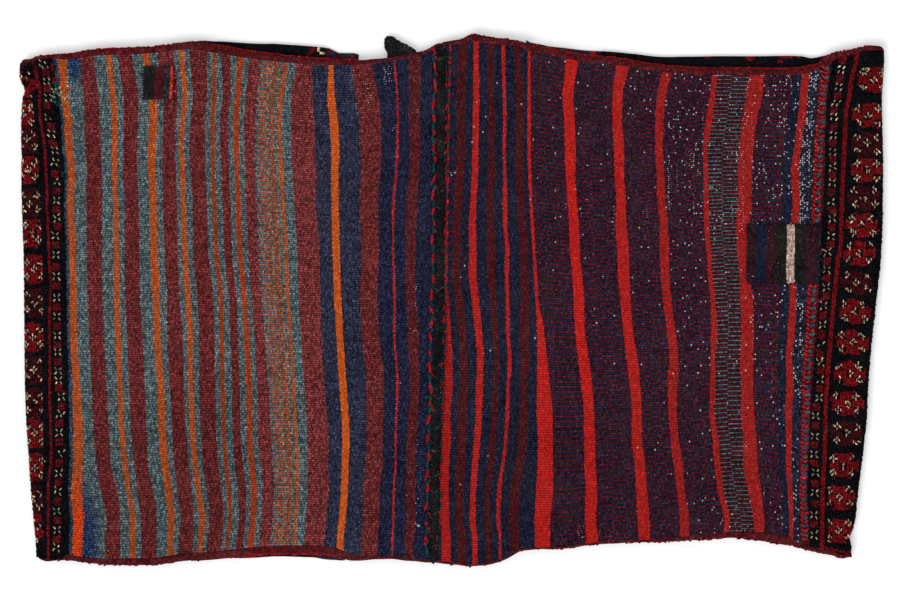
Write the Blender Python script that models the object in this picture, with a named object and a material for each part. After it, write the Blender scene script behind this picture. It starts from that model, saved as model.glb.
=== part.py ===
import bpy
import numpy as np

# Driving dimensions, in metres
bag_length = 1.222  # fold to fold
bag_width = 0.751  # side to side, over the waviest places
left_mouth_reach = 0.467  # left fold to left mouth
right_mouth_reach = 0.504  # right fold to right mouth
flatweave_thickness = 0.003
pile_thickness = 0.007  # knotted front panel
pocket_gap = 0.009  # slack inside each pouch
bridge_sag = 0.003  # drop of the single cloth between the pouches
ripple = 0.0006  # height of the slow waves in the cloth
left_band_depth = 0.047  # flatwoven band along the left mouth
right_band_depth = 0.106
band_thickness = 0.0035
binding_height = 0.007
edging_diameter = 0.0055
ridge_width = 0.0138  # goat-hair seam
ridge_height = 0.0085
chain_width = 0.0068
chain_height = 0.0028
patch_thickness = 0.0022
loop_length = 0.046
loop_width = 0.0105
loop_height = 0.0042
loops_per_mouth = 7
tab_thickness = 0.006
clearance = 0.0003

# The outline below was drawn at this size
drawn_length = 1.222
drawn_width = 0.751

# Outer edge of the selvedge binding of the back, far side and near side
upper_edge = [
    (-0.611, 0.338), (-0.585, 0.347), (-0.530, 0.352), (-0.450, 0.358),
    (-0.370, 0.364), (-0.343, 0.362), (-0.285, 0.352), (-0.230, 0.345),
    (-0.180, 0.341), (-0.140, 0.340), (-0.110, 0.342), (-0.070, 0.347),
    (-0.030, 0.359), (0.000, 0.368), (0.034, 0.375), (0.065, 0.373),
    (0.105, 0.363), (0.140, 0.352), (0.180, 0.345), (0.235, 0.340),
    (0.295, 0.331), (0.360, 0.328), (0.480, 0.327), (0.520, 0.333),
    (0.560, 0.354), (0.590, 0.359), (0.609, 0.354),
]
lower_edge = [
    (-0.588, -0.366), (-0.540, -0.369), (-0.480, -0.373), (-0.430, -0.373),
    (-0.370, -0.364), (-0.300, -0.360), (-0.245, -0.356), (-0.200, -0.356),
    (-0.165, -0.359), (-0.140, -0.366), (-0.090, -0.365), (-0.050, -0.368),
    (-0.010, -0.373), (0.030, -0.375), (0.065, -0.369), (0.095, -0.353),
    (0.125, -0.349), (0.210, -0.345), (0.290, -0.341), (0.390, -0.335),
    (0.440, -0.338), (0.490, -0.348), (0.530, -0.357), (0.563, -0.361),
]
# How far the pile front bulges past the binding
upper_bulge = [
    (-0.611, -0.0005), (-0.380, -0.0005), (-0.330, 0.006), (-0.250, 0.017),
    (-0.200, 0.019), (-0.175, 0.015), (-0.160, 0.009), (-0.140, 0.011),
    (-0.120, 0.004), (0.100, 0.001), (0.130, 0.006), (0.200, 0.008),
    (0.260, 0.011), (0.330, 0.017), (0.460, 0.019), (0.500, 0.013),
    (0.530, 0.000), (0.611, -0.0005),
]
lower_bulge = [
    (-0.588, -0.0005), (-0.480, 0.0005), (-0.320, 0.002), (-0.240, 0.006),
    (-0.200, 0.007), (-0.150, 0.003), (-0.120, -0.0005), (0.100, -0.0005),
    (0.380, -0.0005), (0.440, 0.002), (0.500, 0.000), (0.563, -0.0005),
]
# Width of the binding that shows along each edge
upper_binding = [
    (-0.611, 0.0075), (-0.540, 0.0110), (-0.350, 0.0120), (-0.200, 0.0100),
    (-0.100, 0.0070), (0.030, 0.0055), (0.110, 0.0100), (0.250, 0.0105),
    (0.480, 0.0105), (0.560, 0.0100), (0.609, 0.0065),
]
lower_binding = [
    (-0.588, 0.0100), (-0.450, 0.0120), (-0.300, 0.0125), (-0.160, 0.0130),
    (-0.120, 0.0080), (-0.040, 0.0050), (0.050, 0.0040), (0.200, 0.0045),
    (0.320, 0.0070), (0.400, 0.0115), (0.470, 0.0125), (0.530, 0.0080),
    (0.563, 0.0060),
]
# Lines across the bag, as (y, x)
seam_line = [(-0.375, -0.0272), (-0.280, -0.0258), (-0.180, -0.0225), (0.000, -0.0180), (0.180, -0.0160), (0.370, -0.0150)]
left_fold = [
    (-0.366, -0.5870), (-0.300, -0.5945), (-0.220, -0.6000), (-0.150, -0.6050),
    (-0.060, -0.6065), (0.060, -0.6080), (0.180, -0.6100), (0.240, -0.6095),
    (0.285, -0.6065), (0.320, -0.6100), (0.338, -0.6095),
]
right_fold = [
    (-0.361, 0.5620), (-0.330, 0.5650), (-0.280, 0.5725), (-0.190, 0.5850),
    (-0.100, 0.5900), (0.000, 0.5990), (0.060, 0.6050), (0.120, 0.6080),
    (0.210, 0.6090), (0.290, 0.6080), (0.354, 0.6075),
]

# Mending patches: centre x, centre y, length along x, length along y
small_patch_place = (-0.4155, 0.3085, 0.045, 0.046)
large_patch_place = (0.4665, 0.0660, 0.098, 0.083)

stretch_x = bag_length / drawn_length
stretch_y = bag_width / drawn_width
top_level = pile_thickness + pocket_gap + flatweave_thickness
half_ridge = ridge_width / 2
back_steps = 26  # rows of the cloth between the seam and a fold


def through(points, at):
    """Height at one place of a smooth line through the points, with no overshoot."""
    xs = [p[0] for p in points]
    ys = [p[1] for p in points]
    if at <= xs[0]:
        return ys[0]
    if at >= xs[-1]:
        return ys[-1]
    i = int(np.searchsorted(xs, at)) - 1
    rises = [(ys[k + 1] - ys[k]) / (xs[k + 1] - xs[k]) for k in range(len(xs) - 1)]

    def slope(k):
        if k == 0 or k == len(xs) - 1 or rises[k - 1] * rises[k] <= 0:
            return 0.0
        return 2 * rises[k - 1] * rises[k] / (rises[k - 1] + rises[k])

    step = xs[i + 1] - xs[i]
    t = (at - xs[i]) / step
    start = (1 + 2 * t) * (1 - t) ** 2 * ys[i] + t * (1 - t) ** 2 * step * slope(i)
    end = t * t * (3 - 2 * t) * ys[i + 1] + t * t * (t - 1) * step * slope(i + 1)
    return start + end


def across_x(points, x):
    """A measure drawn along the bag, at a stretched x."""
    return through(points, x / stretch_x)


def edge_y(side, x):
    """Outer edge of the back's binding: side 1 is the far edge, -1 the near one."""
    points = upper_edge if side > 0 else lower_edge
    return across_x(points, x) * stretch_y


def binding_width(side, x):
    return across_x(upper_binding if side > 0 else lower_binding, x)


def bulge(side, x):
    return across_x(upper_bulge if side > 0 else lower_bulge, x)


def line_x(points, y):
    return through(points, y / stretch_y) * stretch_x


def fold_x(half, y):
    return line_x(right_fold if half > 0 else left_fold, y)


def mouth_x(half, y):
    reach = right_mouth_reach if half > 0 else left_mouth_reach
    slant = 0.0 if half > 0 else 0.0206 * y / bag_width
    fold = 0.609 if half > 0 else -0.609
    return half * (half * fold * stretch_x - reach) + slant


def sag(x):
    start = mouth_x(-1, 0.0)
    end = mouth_x(1, 0.0)
    if x <= start or x >= end:
        return 0.0
    return bridge_sag * np.sin(np.pi * (x - start) / (end - start)) ** 2


def cloth_top(x, y):
    """Height of the back's upper face."""
    inside = min(1.0, (bag_length / 2 - abs(x)) / 0.09, (bag_width / 2 - abs(y)) / 0.09)
    wave = np.sin(17 * x + 1.1) * np.cos(13 * y - 0.4) + 0.5 * np.sin(29 * y + 8 * x)
    return top_level - sag(x) + ripple * max(0.0, inside) * wave


def paint(made, color):
    material = bpy.data.materials.new(made.name)
    material.use_nodes = True
    shader = material.node_tree.nodes["Principled BSDF"]
    shader.inputs["Base Color"].default_value = (*color, 1.0)
    shader.inputs["Roughness"].default_value = 0.9
    made.data.materials.append(material)


def add_solid(name, points, faces, color):
    mesh = bpy.data.meshes.new(name)
    mesh.from_pydata([tuple(p) for p in points], [], faces)
    mesh.validate()
    made = bpy.data.objects.new(name, mesh)
    bpy.context.scene.collection.objects.link(made)
    paint(made, color)
    return made


def add_sheet(name, outer, inner, color):
    """A thick sheet between two grids of points of one shape, outer face first."""
    rows, columns = outer.shape[:2]
    points = np.concatenate([outer.reshape(-1, 3), inner.reshape(-1, 3)])
    shift = rows * columns
    faces = []
    for i in range(rows - 1):
        for j in range(columns - 1):
            a = i * columns + j
            b, c, d = a + columns, a + columns + 1, a + 1
            faces.append((a, b, c))
            faces.append((a, c, d))
            faces.append((shift + a, shift + c, shift + b))
            faces.append((shift + a, shift + d, shift + c))
    rim = [i * columns for i in range(rows)]
    rim += [(rows - 1) * columns + j for j in range(1, columns)]
    rim += [i * columns + columns - 1 for i in range(rows - 2, -1, -1)]
    rim += list(range(columns - 2, 0, -1))
    for a, b in zip(rim, rim[1:] + rim[:1]):
        faces.append((b, a, shift + a))
        faces.append((b, shift + a, shift + b))
    return add_solid(name, points, faces, color)


def add_roll(name, centres, widths, heights, color, sides=10, sheared=False):
    """An oval roll along a path, closed at both ends. A sheared one keeps its width along y."""
    centres = np.array(centres)
    count = len(centres)
    points = []
    for i in range(count):
        ahead = centres[min(i + 1, count - 1)] - centres[max(i - 1, 0)]
        across = np.cross((0, 0, 1), ahead)
        across = across / np.linalg.norm(across)
        if sheared:
            across = np.array((0, np.sign(ahead[0]), 0))
        for k in range(sides):
            angle = 2 * np.pi * (k + 0.5) / sides
            sideways = across * widths[i] / 2 * np.cos(angle)
            upward = np.array((0, 0, heights[i] / 2 * np.sin(angle)))
            points.append(centres[i] + sideways + upward)
    points += [centres[0], centres[-1]]
    faces = []
    for i in range(count - 1):
        for k in range(sides):
            a = i * sides + k
            b = i * sides + (k + 1) % sides
            faces.append((a, b + sides, a + sides))
            faces.append((a, b, b + sides))
    first = count * sides
    last = (count - 1) * sides
    for k in range(sides):
        faces.append((first, (k + 1) % sides, k))
        faces.append((first + 1, last + k, last + (k + 1) % sides))
    return add_solid(name, points, faces, color)


def between(a, b, t):
    return a + (b - a) * t


def seam_side(half, y):
    return line_x(seam_line, y) + half * (half_ridge + clearance)


def fold_centre(half, y):
    return fold_x(half, y) - half * top_level / 2


def back_edges(x):
    low = edge_y(-1, x) + binding_width(-1, x) + clearance
    high = edge_y(1, x) - binding_width(1, x) - clearance
    return low, high


def placed(start, end, t, share, edges):
    """The point at share t from line to line and at one share between two edges."""
    x = between(start(0.0), end(0.0), t)
    for _ in range(4):
        low, high = edges(x)
        y = between(low, high, share)
        x = between(start(y), end(y), t)
    return x, y


def on_back(half, t, share):
    return placed(
        lambda y: seam_side(half, y), lambda y: fold_centre(half, y), t, share, back_edges
    )


def add_bag_half(name, half, color):
    """Back, fold and pile front in one cloth. half is -1 on the left and 1 on the right."""
    radius = top_level / 2
    inner_radius = radius - 0.005
    fold_steps, front_steps = 8, 15
    shares = np.linspace(0, 1, 16)

    def fold_line(y):
        return fold_centre(half, y)

    def mouth_line(y):
        return mouth_x(half, y)

    def front_edges(x):
        return edge_y(-1, x) - bulge(-1, x), edge_y(1, x) + bulge(1, x)

    def narrowed(x):
        low = edge_y(-1, x) + max(binding_width(-1, x), edging_diameter) + clearance
        high = edge_y(1, x) - max(binding_width(1, x), edging_diameter) - clearance
        return low, high

    outer, inner = [], []
    for i in range(back_steps):
        row_out, row_in = [], []
        for share in shares:
            x, y = on_back(half, i / back_steps, share)
            z = cloth_top(x, y)
            row_out.append((x, y, z))
            row_in.append((x, y, z - flatweave_thickness))
        outer.append(row_out)
        inner.append(row_in)
    for i in range(fold_steps + 1):
        angle = np.pi / 2 - np.pi * i / fold_steps
        row_out, row_in = [], []
        for share in shares:
            x, y = placed(fold_line, fold_line, 1.0, share, narrowed)
            reach, height = np.cos(angle), np.sin(angle)
            y = between(*narrowed(x + half * (radius * reach + 0.002)), share)
            row_out.append((x + half * radius * reach, y, radius * (1 + height)))
            level = pile_thickness + pocket_gap / 2 * (1 + height)
            row_in.append((x + half * inner_radius * reach, y, level))
        outer.append(row_out)
        inner.append(row_in)
    band = right_band_depth if half > 0 else left_band_depth
    reach = right_mouth_reach if half > 0 else left_mouth_reach
    band_start = 1 - band / (reach - radius)
    pile_part = np.linspace(0.03, band_start, front_steps - 3)
    steps = list(pile_part) + [between(band_start, 1, 0.12), between(band_start, 1, 0.6), 1.0]
    for t in steps:
        row_out, row_in = [], []
        thick = pile_thickness if t <= band_start + 1e-9 else band_thickness
        for j, share in enumerate(shares):
            x, y = placed(fold_line, mouth_line, t, share, front_edges)
            rim = j in (0, len(shares) - 1)
            row_out.append((x, y, 0.25 * thick if rim else 0.0))
            row_in.append((x, y, thick))
        outer.append(row_out)
        inner.append(row_in)
    outer, inner = np.array(outer), np.array(inner)
    if half < 0:
        outer, inner = outer[:, ::-1], inner[:, ::-1]
    return add_sheet(name, outer, inner, color)


def binding_level(x):
    lift = pile_thickness + edging_diameter + 2 * clearance + binding_height / 2
    return lift - sag(x)


def add_binding(name, half, side, color):
    """The wrapped selvedge of one half of the back, along one side."""
    corner_y = edge_y(side, half * bag_length / 2)
    end = fold_x(half, corner_y) - half * 0.0015
    rows = [on_back(half, i / back_steps, (side + 1) / 2)[0] for i in range(back_steps)]
    rows = [rows[0] + half * clearance, *rows[1:]]
    rows += [fold_centre(half, corner_y), end - half * 0.003, end]
    centres, widths, heights = [], [], []
    for n, x in enumerate(rows):
        width = binding_width(side, x)
        centres.append((x, edge_y(side, x) - side * width / 2, binding_level(x)))
        closing = 0.55 if n in (0, len(rows) - 1) else 1.0
        widths.append(width * closing)
        heights.append(binding_height * closing)
    return add_roll(name, centres, widths, heights, color, sheared=True)


def add_edging(name, half, side, color):
    """The overcast edge of one pile front, which lies under or beside the binding."""
    corner_y = edge_y(side, half * bag_length / 2)
    start = fold_x(half, corner_y) - half * (top_level / 2 + 0.004)
    end = mouth_x(half, corner_y)
    centres, widths, heights = [], [], []
    shares = np.linspace(0, 1, 24)
    for n, t in enumerate(shares):
        x = between(start, end, t)
        past = max(0.0, min(1.0, bulge(side, x) / 0.006))
        offset = between(-edging_diameter / 2 - 0.0005, 0.001, past)
        level = pile_thickness + clearance + edging_diameter / 2
        centres.append((x, edge_y(side, x) + side * offset, level))
        closing = 0.6 if n in (0, len(shares) - 1) else 1.0
        widths.append(edging_diameter * closing)
        heights.append(edging_diameter * closing)
    return add_roll(name, centres, widths, heights, color, sides=8)


def seam_place(t):
    """A point of the seam line at share t, with the cloth's height there."""
    low = edge_y(-1, -0.028 * stretch_x) + 0.001
    high = edge_y(1, -0.015 * stretch_x) - 0.001
    y = between(low, high, t)
    return line_x(seam_line, y), y


def add_seam_ridge(name, color):
    centres, widths, heights = [], [], []
    count = 61
    for n in range(count):
        x, y = seam_place(n / (count - 1))
        swell = 1 - 0.07 * (1 + np.cos(np.pi * n)) / 2
        closing = 0.5 if n in (0, count - 1) else 1.0
        lift = 0.0003 * np.sin(2.1 * n)
        centres.append((x, y, top_level - sag(x) - flatweave_thickness / 2 + lift))
        widths.append(ridge_width * swell * closing)
        heights.append(ridge_height * swell * closing)
    return add_roll(name, centres, widths, heights, color)


def add_seam_chain(name, half, color):
    centres, widths, heights = [], [], []
    count = 49
    for n in range(count):
        x, y = seam_place(0.006 + 0.988 * n / (count - 1))
        x += half * (half_ridge + 2 * clearance + chain_width / 2)
        swell = 1 - 0.1 * (1 + np.cos(np.pi * n)) / 2
        closing = 0.5 if n in (0, count - 1) else 1.0
        under = cloth_top(x, y) + clearance
        if min(n, count - 1 - n) < 2:
            under = binding_level(x) + binding_height / 2
        centres.append((x, y, under + clearance + chain_height / 2))
        widths.append(chain_width * swell * closing)
        heights.append(chain_height * swell * closing)
    return add_roll(name, centres, widths, heights, color, sides=8)


def add_patch(name, place, color):
    centre_x, centre_y, length_x, length_y = place
    outer, inner = [], []
    for u in np.linspace(-0.5, 0.5, 8):
        row_out, row_in = [], []
        for v in np.linspace(-0.5, 0.5, 8):
            x = centre_x * stretch_x + u * length_x
            y = centre_y * stretch_y + v * length_y
            z = cloth_top(x, y) + 1.2 * clearance
            row_out.append((x, y, z + patch_thickness))
            row_in.append((x, y, z))
        outer.append(row_out)
        inner.append(row_in)
    return add_sheet(name, np.array(outer), np.array(inner), color)


def add_loop(name, half, share, color):
    """A goat-hair loop sewn to the mouth's edge, its two legs lying together."""
    low = edge_y(-1, mouth_x(half, 0.0))
    high = edge_y(1, mouth_x(half, 0.0))
    y = between(low, high, share)
    start = mouth_x(half, y) - half * clearance
    shape = [(0.0, 0.62), (0.05, 0.80), (0.3, 0.84), (0.6, 0.92), (0.82, 1.0), (0.95, 0.8), (1.0, 0.4)]
    centres, widths, heights = [], [], []
    for t, wide in shape:
        lean = 0.003 * np.sin(5 * share * loops_per_mouth) * t
        centres.append((start - half * t * loop_length, y + lean, loop_height / 2 + 0.0002))
        widths.append(loop_width * wide)
        heights.append(loop_height * (0.6 if t in (0.0, 1.0) else 1.0))
    return add_roll(name, centres, widths, heights, color, sides=8)


def add_tie_tab(name, color):
    """The strap end that is sewn under the far edge and shows beyond it."""
    root_x = -0.0730 * stretch_x
    root_y = edge_y(1, root_x)
    level = binding_level(root_x) - binding_height / 2 - clearance - tab_thickness / 2
    shape = [
        (0.0010, -0.0120, 0.030, 0.0), (0.0010, -0.0060, 0.037, 0.0),
        (0.0000, 0.0020, 0.037, 0.0), (-0.0040, 0.0100, 0.028, -0.001),
        (-0.0115, 0.0180, 0.020, -0.0025), (-0.0155, 0.0235, 0.013, -0.0035),
        (-0.0165, 0.0265, 0.007, -0.004),
    ]
    centres, widths, heights = [], [], []
    for dx, dy, wide, drop in shape:
        centres.append((root_x + dx, root_y + dy, level + drop))
        widths.append(wide)
        heights.append(tab_thickness * (0.6 if (dx, wide) == (-0.0165, 0.007) else 1.0))
    heights[0] = 0.6 * tab_thickness
    return add_roll(name, centres, widths, heights, color, sides=10)


for old in list(bpy.data.objects):
    bpy.data.objects.remove(old, do_unlink=True)

maroon = (0.075, 0.012, 0.016)
scarlet = (0.42, 0.02, 0.012)
goat_black = (0.012, 0.011, 0.011)

add_bag_half("left_bag_weave", -1, (0.09, 0.10, 0.11))
add_bag_half("right_bag_weave", 1, (0.10, 0.02, 0.03))
add_binding("left_upper_binding", -1, 1, maroon)
add_binding("left_lower_binding", -1, -1, maroon)
add_binding("right_upper_binding", 1, 1, maroon)
add_binding("right_lower_binding", 1, -1, maroon)
add_edging("left_upper_front_edging", -1, 1, scarlet)
add_edging("left_lower_front_edging", -1, -1, scarlet)
add_edging("right_upper_front_edging", 1, 1, scarlet)
add_edging("right_lower_front_edging", 1, -1, scarlet)
add_seam_ridge("centre_seam_ridge", goat_black)
add_seam_chain("left_seam_chain", -1, (0.20, 0.05, 0.04))
add_seam_chain("right_seam_chain", 1, (0.16, 0.05, 0.04))
add_patch("small_patch", small_patch_place, (0.05, 0.02, 0.02))
add_patch("large_patch", large_patch_place, (0.06, 0.02, 0.03))
add_tie_tab("upper_tie_tab", goat_black)
for n in range(loops_per_mouth):
    share = (n + 0.5) / loops_per_mouth
    add_loop("left_closure_loop_%d" % (n + 1), -1, share, goat_black)
    add_loop("right_closure_loop_%d" % (n + 1), 1, share, goat_black)

# The origin is the centre of the bounding box's base
everything = [o for o in bpy.data.objects if o.type == "MESH"]
corners = np.array([v.co[:] for o in everything for v in o.data.vertices])
middle = (corners.min(axis=0) + corners.max(axis=0)) / 2
base = corners[:, 2].min()
for made in everything:
    for vertex in made.data.vertices:
        vertex.co.x -= middle[0]
        vertex.co.y -= middle[1]
        vertex.co.z -= base
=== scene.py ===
import math

import bmesh
import bpy
import numpy as np
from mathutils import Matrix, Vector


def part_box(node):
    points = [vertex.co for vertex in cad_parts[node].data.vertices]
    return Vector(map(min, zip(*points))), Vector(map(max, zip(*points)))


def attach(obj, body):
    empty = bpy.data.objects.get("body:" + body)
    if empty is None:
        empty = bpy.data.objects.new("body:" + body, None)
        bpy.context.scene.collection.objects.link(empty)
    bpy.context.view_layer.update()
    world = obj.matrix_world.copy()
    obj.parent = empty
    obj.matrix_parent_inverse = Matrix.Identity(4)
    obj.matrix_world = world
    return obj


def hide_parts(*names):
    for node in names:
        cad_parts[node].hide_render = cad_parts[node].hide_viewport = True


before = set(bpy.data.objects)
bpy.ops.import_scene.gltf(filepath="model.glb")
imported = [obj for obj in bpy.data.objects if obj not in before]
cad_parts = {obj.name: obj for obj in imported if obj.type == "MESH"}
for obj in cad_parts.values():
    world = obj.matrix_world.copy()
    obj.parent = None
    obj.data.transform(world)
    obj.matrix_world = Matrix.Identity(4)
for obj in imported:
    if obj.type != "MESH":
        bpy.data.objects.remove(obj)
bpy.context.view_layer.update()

dice = np.random.default_rng(29)

# measures of the bag in metres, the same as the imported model's; -1 is the left half and 1 the right
bag = {
    "length": 1.222, "width": 0.751, "end": 0.609,
    "mouthReach": {-1: 0.467, 1: 0.504}, "mouthSlope": {-1: 0.0206, 1: 0.0},
    "clothThickness": 0.003, "pileThickness": 0.007, "pocketGap": 0.009,
    "bridgeSag": 0.003, "ripple": 0.0006, "pucker": 0.00042,
    "bandDepth": {-1: 0.047, 1: 0.106}, "bandThickness": 0.0035,
    "bindingHeight": 0.007, "edgingDiameter": 0.0055, "ridgeWidth": 0.0138,
    "patchThickness": 0.0022, "clearance": 0.0003,
    "shiftX": 0.00048,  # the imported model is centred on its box
}
view = {"pixel": 0.001415, "midX": 452.5, "midY": 301.0}  # metres to one pixel at the cloth, and the middle
pixel = view["pixel"]
topLevel = bag["pileThickness"] + bag["pocketGap"] + bag["clothThickness"]
foldRadius = topLevel / 2
sideNames = {-1: "left", 1: "right"}


def smoothLine(points):
    # monotone curve through the points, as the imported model's outline has
    xs = np.array([p[0] for p in points], float)
    ys = np.array([p[1] for p in points], float)
    rises = np.diff(ys) / np.diff(xs)
    slopes = np.zeros(len(xs))
    for k in range(1, len(xs) - 1):
        if rises[k - 1] * rises[k] > 0:
            slopes[k] = 2 * rises[k - 1] * rises[k] / (rises[k - 1] + rises[k])

    def at(x):
        x = np.clip(np.asarray(x, float), xs[0], xs[-1])
        i = np.clip(np.searchsorted(xs, x) - 1, 0, len(xs) - 2)
        step = xs[i + 1] - xs[i]
        t = (x - xs[i]) / step
        start = (1 + 2 * t) * (1 - t) ** 2 * ys[i] + t * (1 - t) ** 2 * step * slopes[i]
        return start + t * t * (3 - 2 * t) * ys[i + 1] + t * t * (t - 1) * step * slopes[i + 1]

    return at


def outlineLine(points):
    # the same through points in tenths of a millimetre
    return smoothLine([(a / 10000, b / 10000) for a, b in points])


# the outline of the back, y at places of x
upperEdge = outlineLine([
    (-6110, 3380), (-6035, 3407), (-5964, 3411), (-5850, 3456), (-5639, 3477), (-5300, 3512), (-5101, 3551),
    (-4790, 3573), (-4500, 3582), (-4111, 3613), (-3700, 3657), (-3430, 3620), (-2850, 3520), (-2300, 3450),
    (-1800, 3410), (-1400, 3400), (-1100, 3420), (-700, 3470), (-375, 3551), (-290, 3590), (-205, 3636),
    (-120, 3660), (-35, 3673), (64, 3687), (149, 3707), (205, 3738), (262, 3766), (347, 3772), (432, 3747),
    (531, 3730), (644, 3715), (771, 3701), (870, 3690), (955, 3670), (1040, 3642), (1111, 3597),
    (1210, 3580), (1323, 3563), (1422, 3543), (1800, 3470), (2350, 3415), (2950, 3320), (3600, 3280),
    (4800, 3272), (5000, 3300), (5170, 3331), (5230, 3386), (5285, 3442), (5340, 3485), (5430, 3510),
    (5625, 3548), (5850, 3596), (5980, 3601), (6045, 3594), (6110, 3550),
])
lowerEdge = outlineLine([
    (-5880, -3614), (-5810, -3653), (-5720, -3677), (-5600, -3669), (-5554, -3664), (-5470, -3657),
    (-5240, -3687), (-4845, -3731), (-4300, -3731), (-3700, -3660), (-3601, -3658), (-3488, -3653),
    (-3000, -3600), (-2450, -3560), (-2000, -3560), (-1677, -3586), (-1650, -3590), (-1400, -3673),
    (-900, -3643), (-500, -3686), (-100, -3710), (248, -3749), (300, -3750), (650, -3689), (950, -3541),
    (955, -3539), (1250, -3506), (1521, -3501), (1946, -3452), (2100, -3433), (2370, -3420), (2900, -3405),
    (2936, -3403), (3502, -3379), (3900, -3349), (4400, -3378), (4634, -3429), (4790, -3447), (4968, -3507),
    (5150, -3546), (5340, -3584), (5534, -3629), (5630, -3619),
])
# how far the fronts stand out past the back
upperBulge = outlineLine([
    (-6110, -5), (-3800, -5), (-3502, 52), (-3346, 67), (-3300, 77), (-3120, 98), (-2696, 142),
    (-2500, 167), (-2000, 183), (-1750, 172), (-1600, 109), (-1400, 110), (-1200, 40), (870, -5), (941, 10),
    (998, 45), (1068, 62), (1153, 64), (1252, 62), (1351, 54), (1436, 60), (1663, 83), (1946, 91),
    (2000, 94), (2512, 112), (2600, 121), (3007, 139), (3300, 166), (3361, 170), (3785, 187), (4351, 191),
    (4600, 196), (4776, 199), (4917, 181), (5000, 155), (5087, 124), (5170, 116), (5230, 75), (5285, 30),
    (5340, 0), (6110, -5),
])
lowerBulge = outlineLine([
    (-5880, -5), (-4800, 5), (-3200, 20), (-3007, 41), (-2696, 56), (-2400, 55), (-2214, 62), (-2000, 68),
    (-1790, 88), (-1620, 75), (-1500, 30), (-1200, -5), (1000, -5), (3800, -5), (4400, 20), (5000, 0),
    (5630, -5),
])
upperBindingWidth = outlineLine([
    (-6110, 46), (-5700, 52), (-5450, 105), (-3500, 120), (-2000, 100), (-1000, 70), (-400, 58), (-120, 58),
    (40, 74), (200, 92), (340, 126), (480, 112), (620, 114), (900, 112), (1000, 100), (1100, 100),
    (2500, 105), (4780, 100), (5087, 105), (5170, 95), (5230, 108), (5285, 138), (5340, 138), (5430, 114),
    (5525, 100), (5740, 80), (5980, 66), (6090, 55),
])
lowerBindingWidth = outlineLine([
    (-5880, 22), (-5530, 30), (-5440, 88), (-5000, 104), (-4500, 120), (-3000, 125), (-1600, 130),
    (-1200, 80), (-400, 50), (500, 40), (2000, 45), (3200, 70), (4000, 115), (4634, 142), (4790, 120),
    (4968, 68), (5150, 74), (5340, 62), (5630, 55),
])
# the seam and the folds at the two ends, x at places of y
seamLine = outlineLine([(-3750, -260), (-2800, -248), (-1800, -225), (0, -180), (1800, -160), (3700, -150)])
leftFold = outlineLine([
    (-3660, -5885), (-3000, -5933), (-2986, -5934), (-2816, -5951), (-2200, -5997), (-1500, -6039),
    (-600, -6056), (524, -6062), (600, -6065), (1800, -6100), (2050, -6094), (2320, -6103), (2550, -6103),
    (2730, -6092), (2885, -6077), (2970, -6055), (3027, -6058), (3100, -6098), (3197, -6125), (3325, -6123),
    (3400, -6098),
])
rightFold = outlineLine([
    (-3610, 5636), (-3495, 5640), (-3354, 5615), (-3300, 5622), (-3240, 5656), (-3042, 5699), (-2800, 5722),
    (-2476, 5760), (-2137, 5805), (-1900, 5830), (-1825, 5842), (-1000, 5890), (0, 5989), (600, 6054),
    (1200, 6081), (2100, 6087), (2165, 6084), (2844, 6069), (2900, 6071), (3467, 6100), (3540, 6099),
])


def edgeY(side, x):
    return upperEdge(x) + 0.0006 if side > 0 else lowerEdge(x) - 0.0006


def bindingWidth(side, x):
    return upperBindingWidth(x) if side > 0 else lowerBindingWidth(x)


def bulge(side, x):
    return upperBulge(x) if side > 0 else lowerBulge(x)


def foldX(half, y):
    return rightFold(y) + 0.0016 if half > 0 else leftFold(y)


def foldCentre(half, y):
    return foldX(half, y) - half * foldRadius


def mouthX(half, y):
    slant = bag["mouthSlope"][half] * np.asarray(y, float) / bag["width"]
    return half * (bag["end"] - bag["mouthReach"][half]) + slant


def sag(x):
    start, end = float(mouthX(-1, 0.0)), float(mouthX(1, 0.0))
    t = np.clip((np.asarray(x, float) - start) / (end - start), 0, 1)
    return bag["bridgeSag"] * np.sin(np.pi * t) ** 2


def insideBy(x, y, reach):
    # how far in from the outline a place lies, as a share of reach that ends at 1
    inX, inY = bag["length"] / 2 - abs(x), bag["width"] / 2 - abs(y)
    return np.clip(np.minimum(inX / reach, inY / reach), 0.0, 1.0)


def clothTop(x, y):
    x, y = np.asarray(x, float), np.asarray(y, float)
    wave = np.sin(17 * x + 1.1) * np.cos(13 * y - 0.4) + 0.5 * np.sin(29 * y + 8 * x)
    return topLevel - sag(x) + bag["ripple"] * insideBy(x, y, 0.09) * wave


def puckeredTop(x, y):
    # the same with slow hills and pulls in the cloth, a millimetre or so
    soft = np.sin(41 * x + 19 * y + 0.7) * np.sin(33 * y - 12 * x)
    soft += 0.7 * np.sin(67 * x - 9 * np.sin(11 * y)) * np.cos(21 * y + 0.8)
    soft += 0.5 * np.sin(95 * y + 7 * np.sin(14 * x)) * np.cos(18 * x)
    return clothTop(x, y) + bag["pucker"] * soft * insideBy(x, y, 0.05)


def bindingLevel(x):
    lift = bag["pileThickness"] + bag["edgingDiameter"] + 2 * bag["clearance"]
    return lift + bag["bindingHeight"] / 2 - sag(x)


# places of the view in pixels to metres, and back
def toX(px):
    return (np.asarray(px, float) - view["midX"]) * pixel


def toY(py):
    return (view["midY"] - np.asarray(py, float)) * pixel


def toPx(x):
    return np.asarray(x, float) / pixel + view["midX"]


def toPy(y):
    return view["midY"] - np.asarray(y, float) / pixel


def dye(red, green, blue, share=1.0):
    # a colour written as it looks, 0 to 255, as the shader wants it
    out = []
    for c in (red, green, blue):
        c = c / 255
        out.append(c / 12.92 if c <= 0.04045 else ((c + 0.055) / 1.055) ** 2.4)
    return (*out, share)


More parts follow.
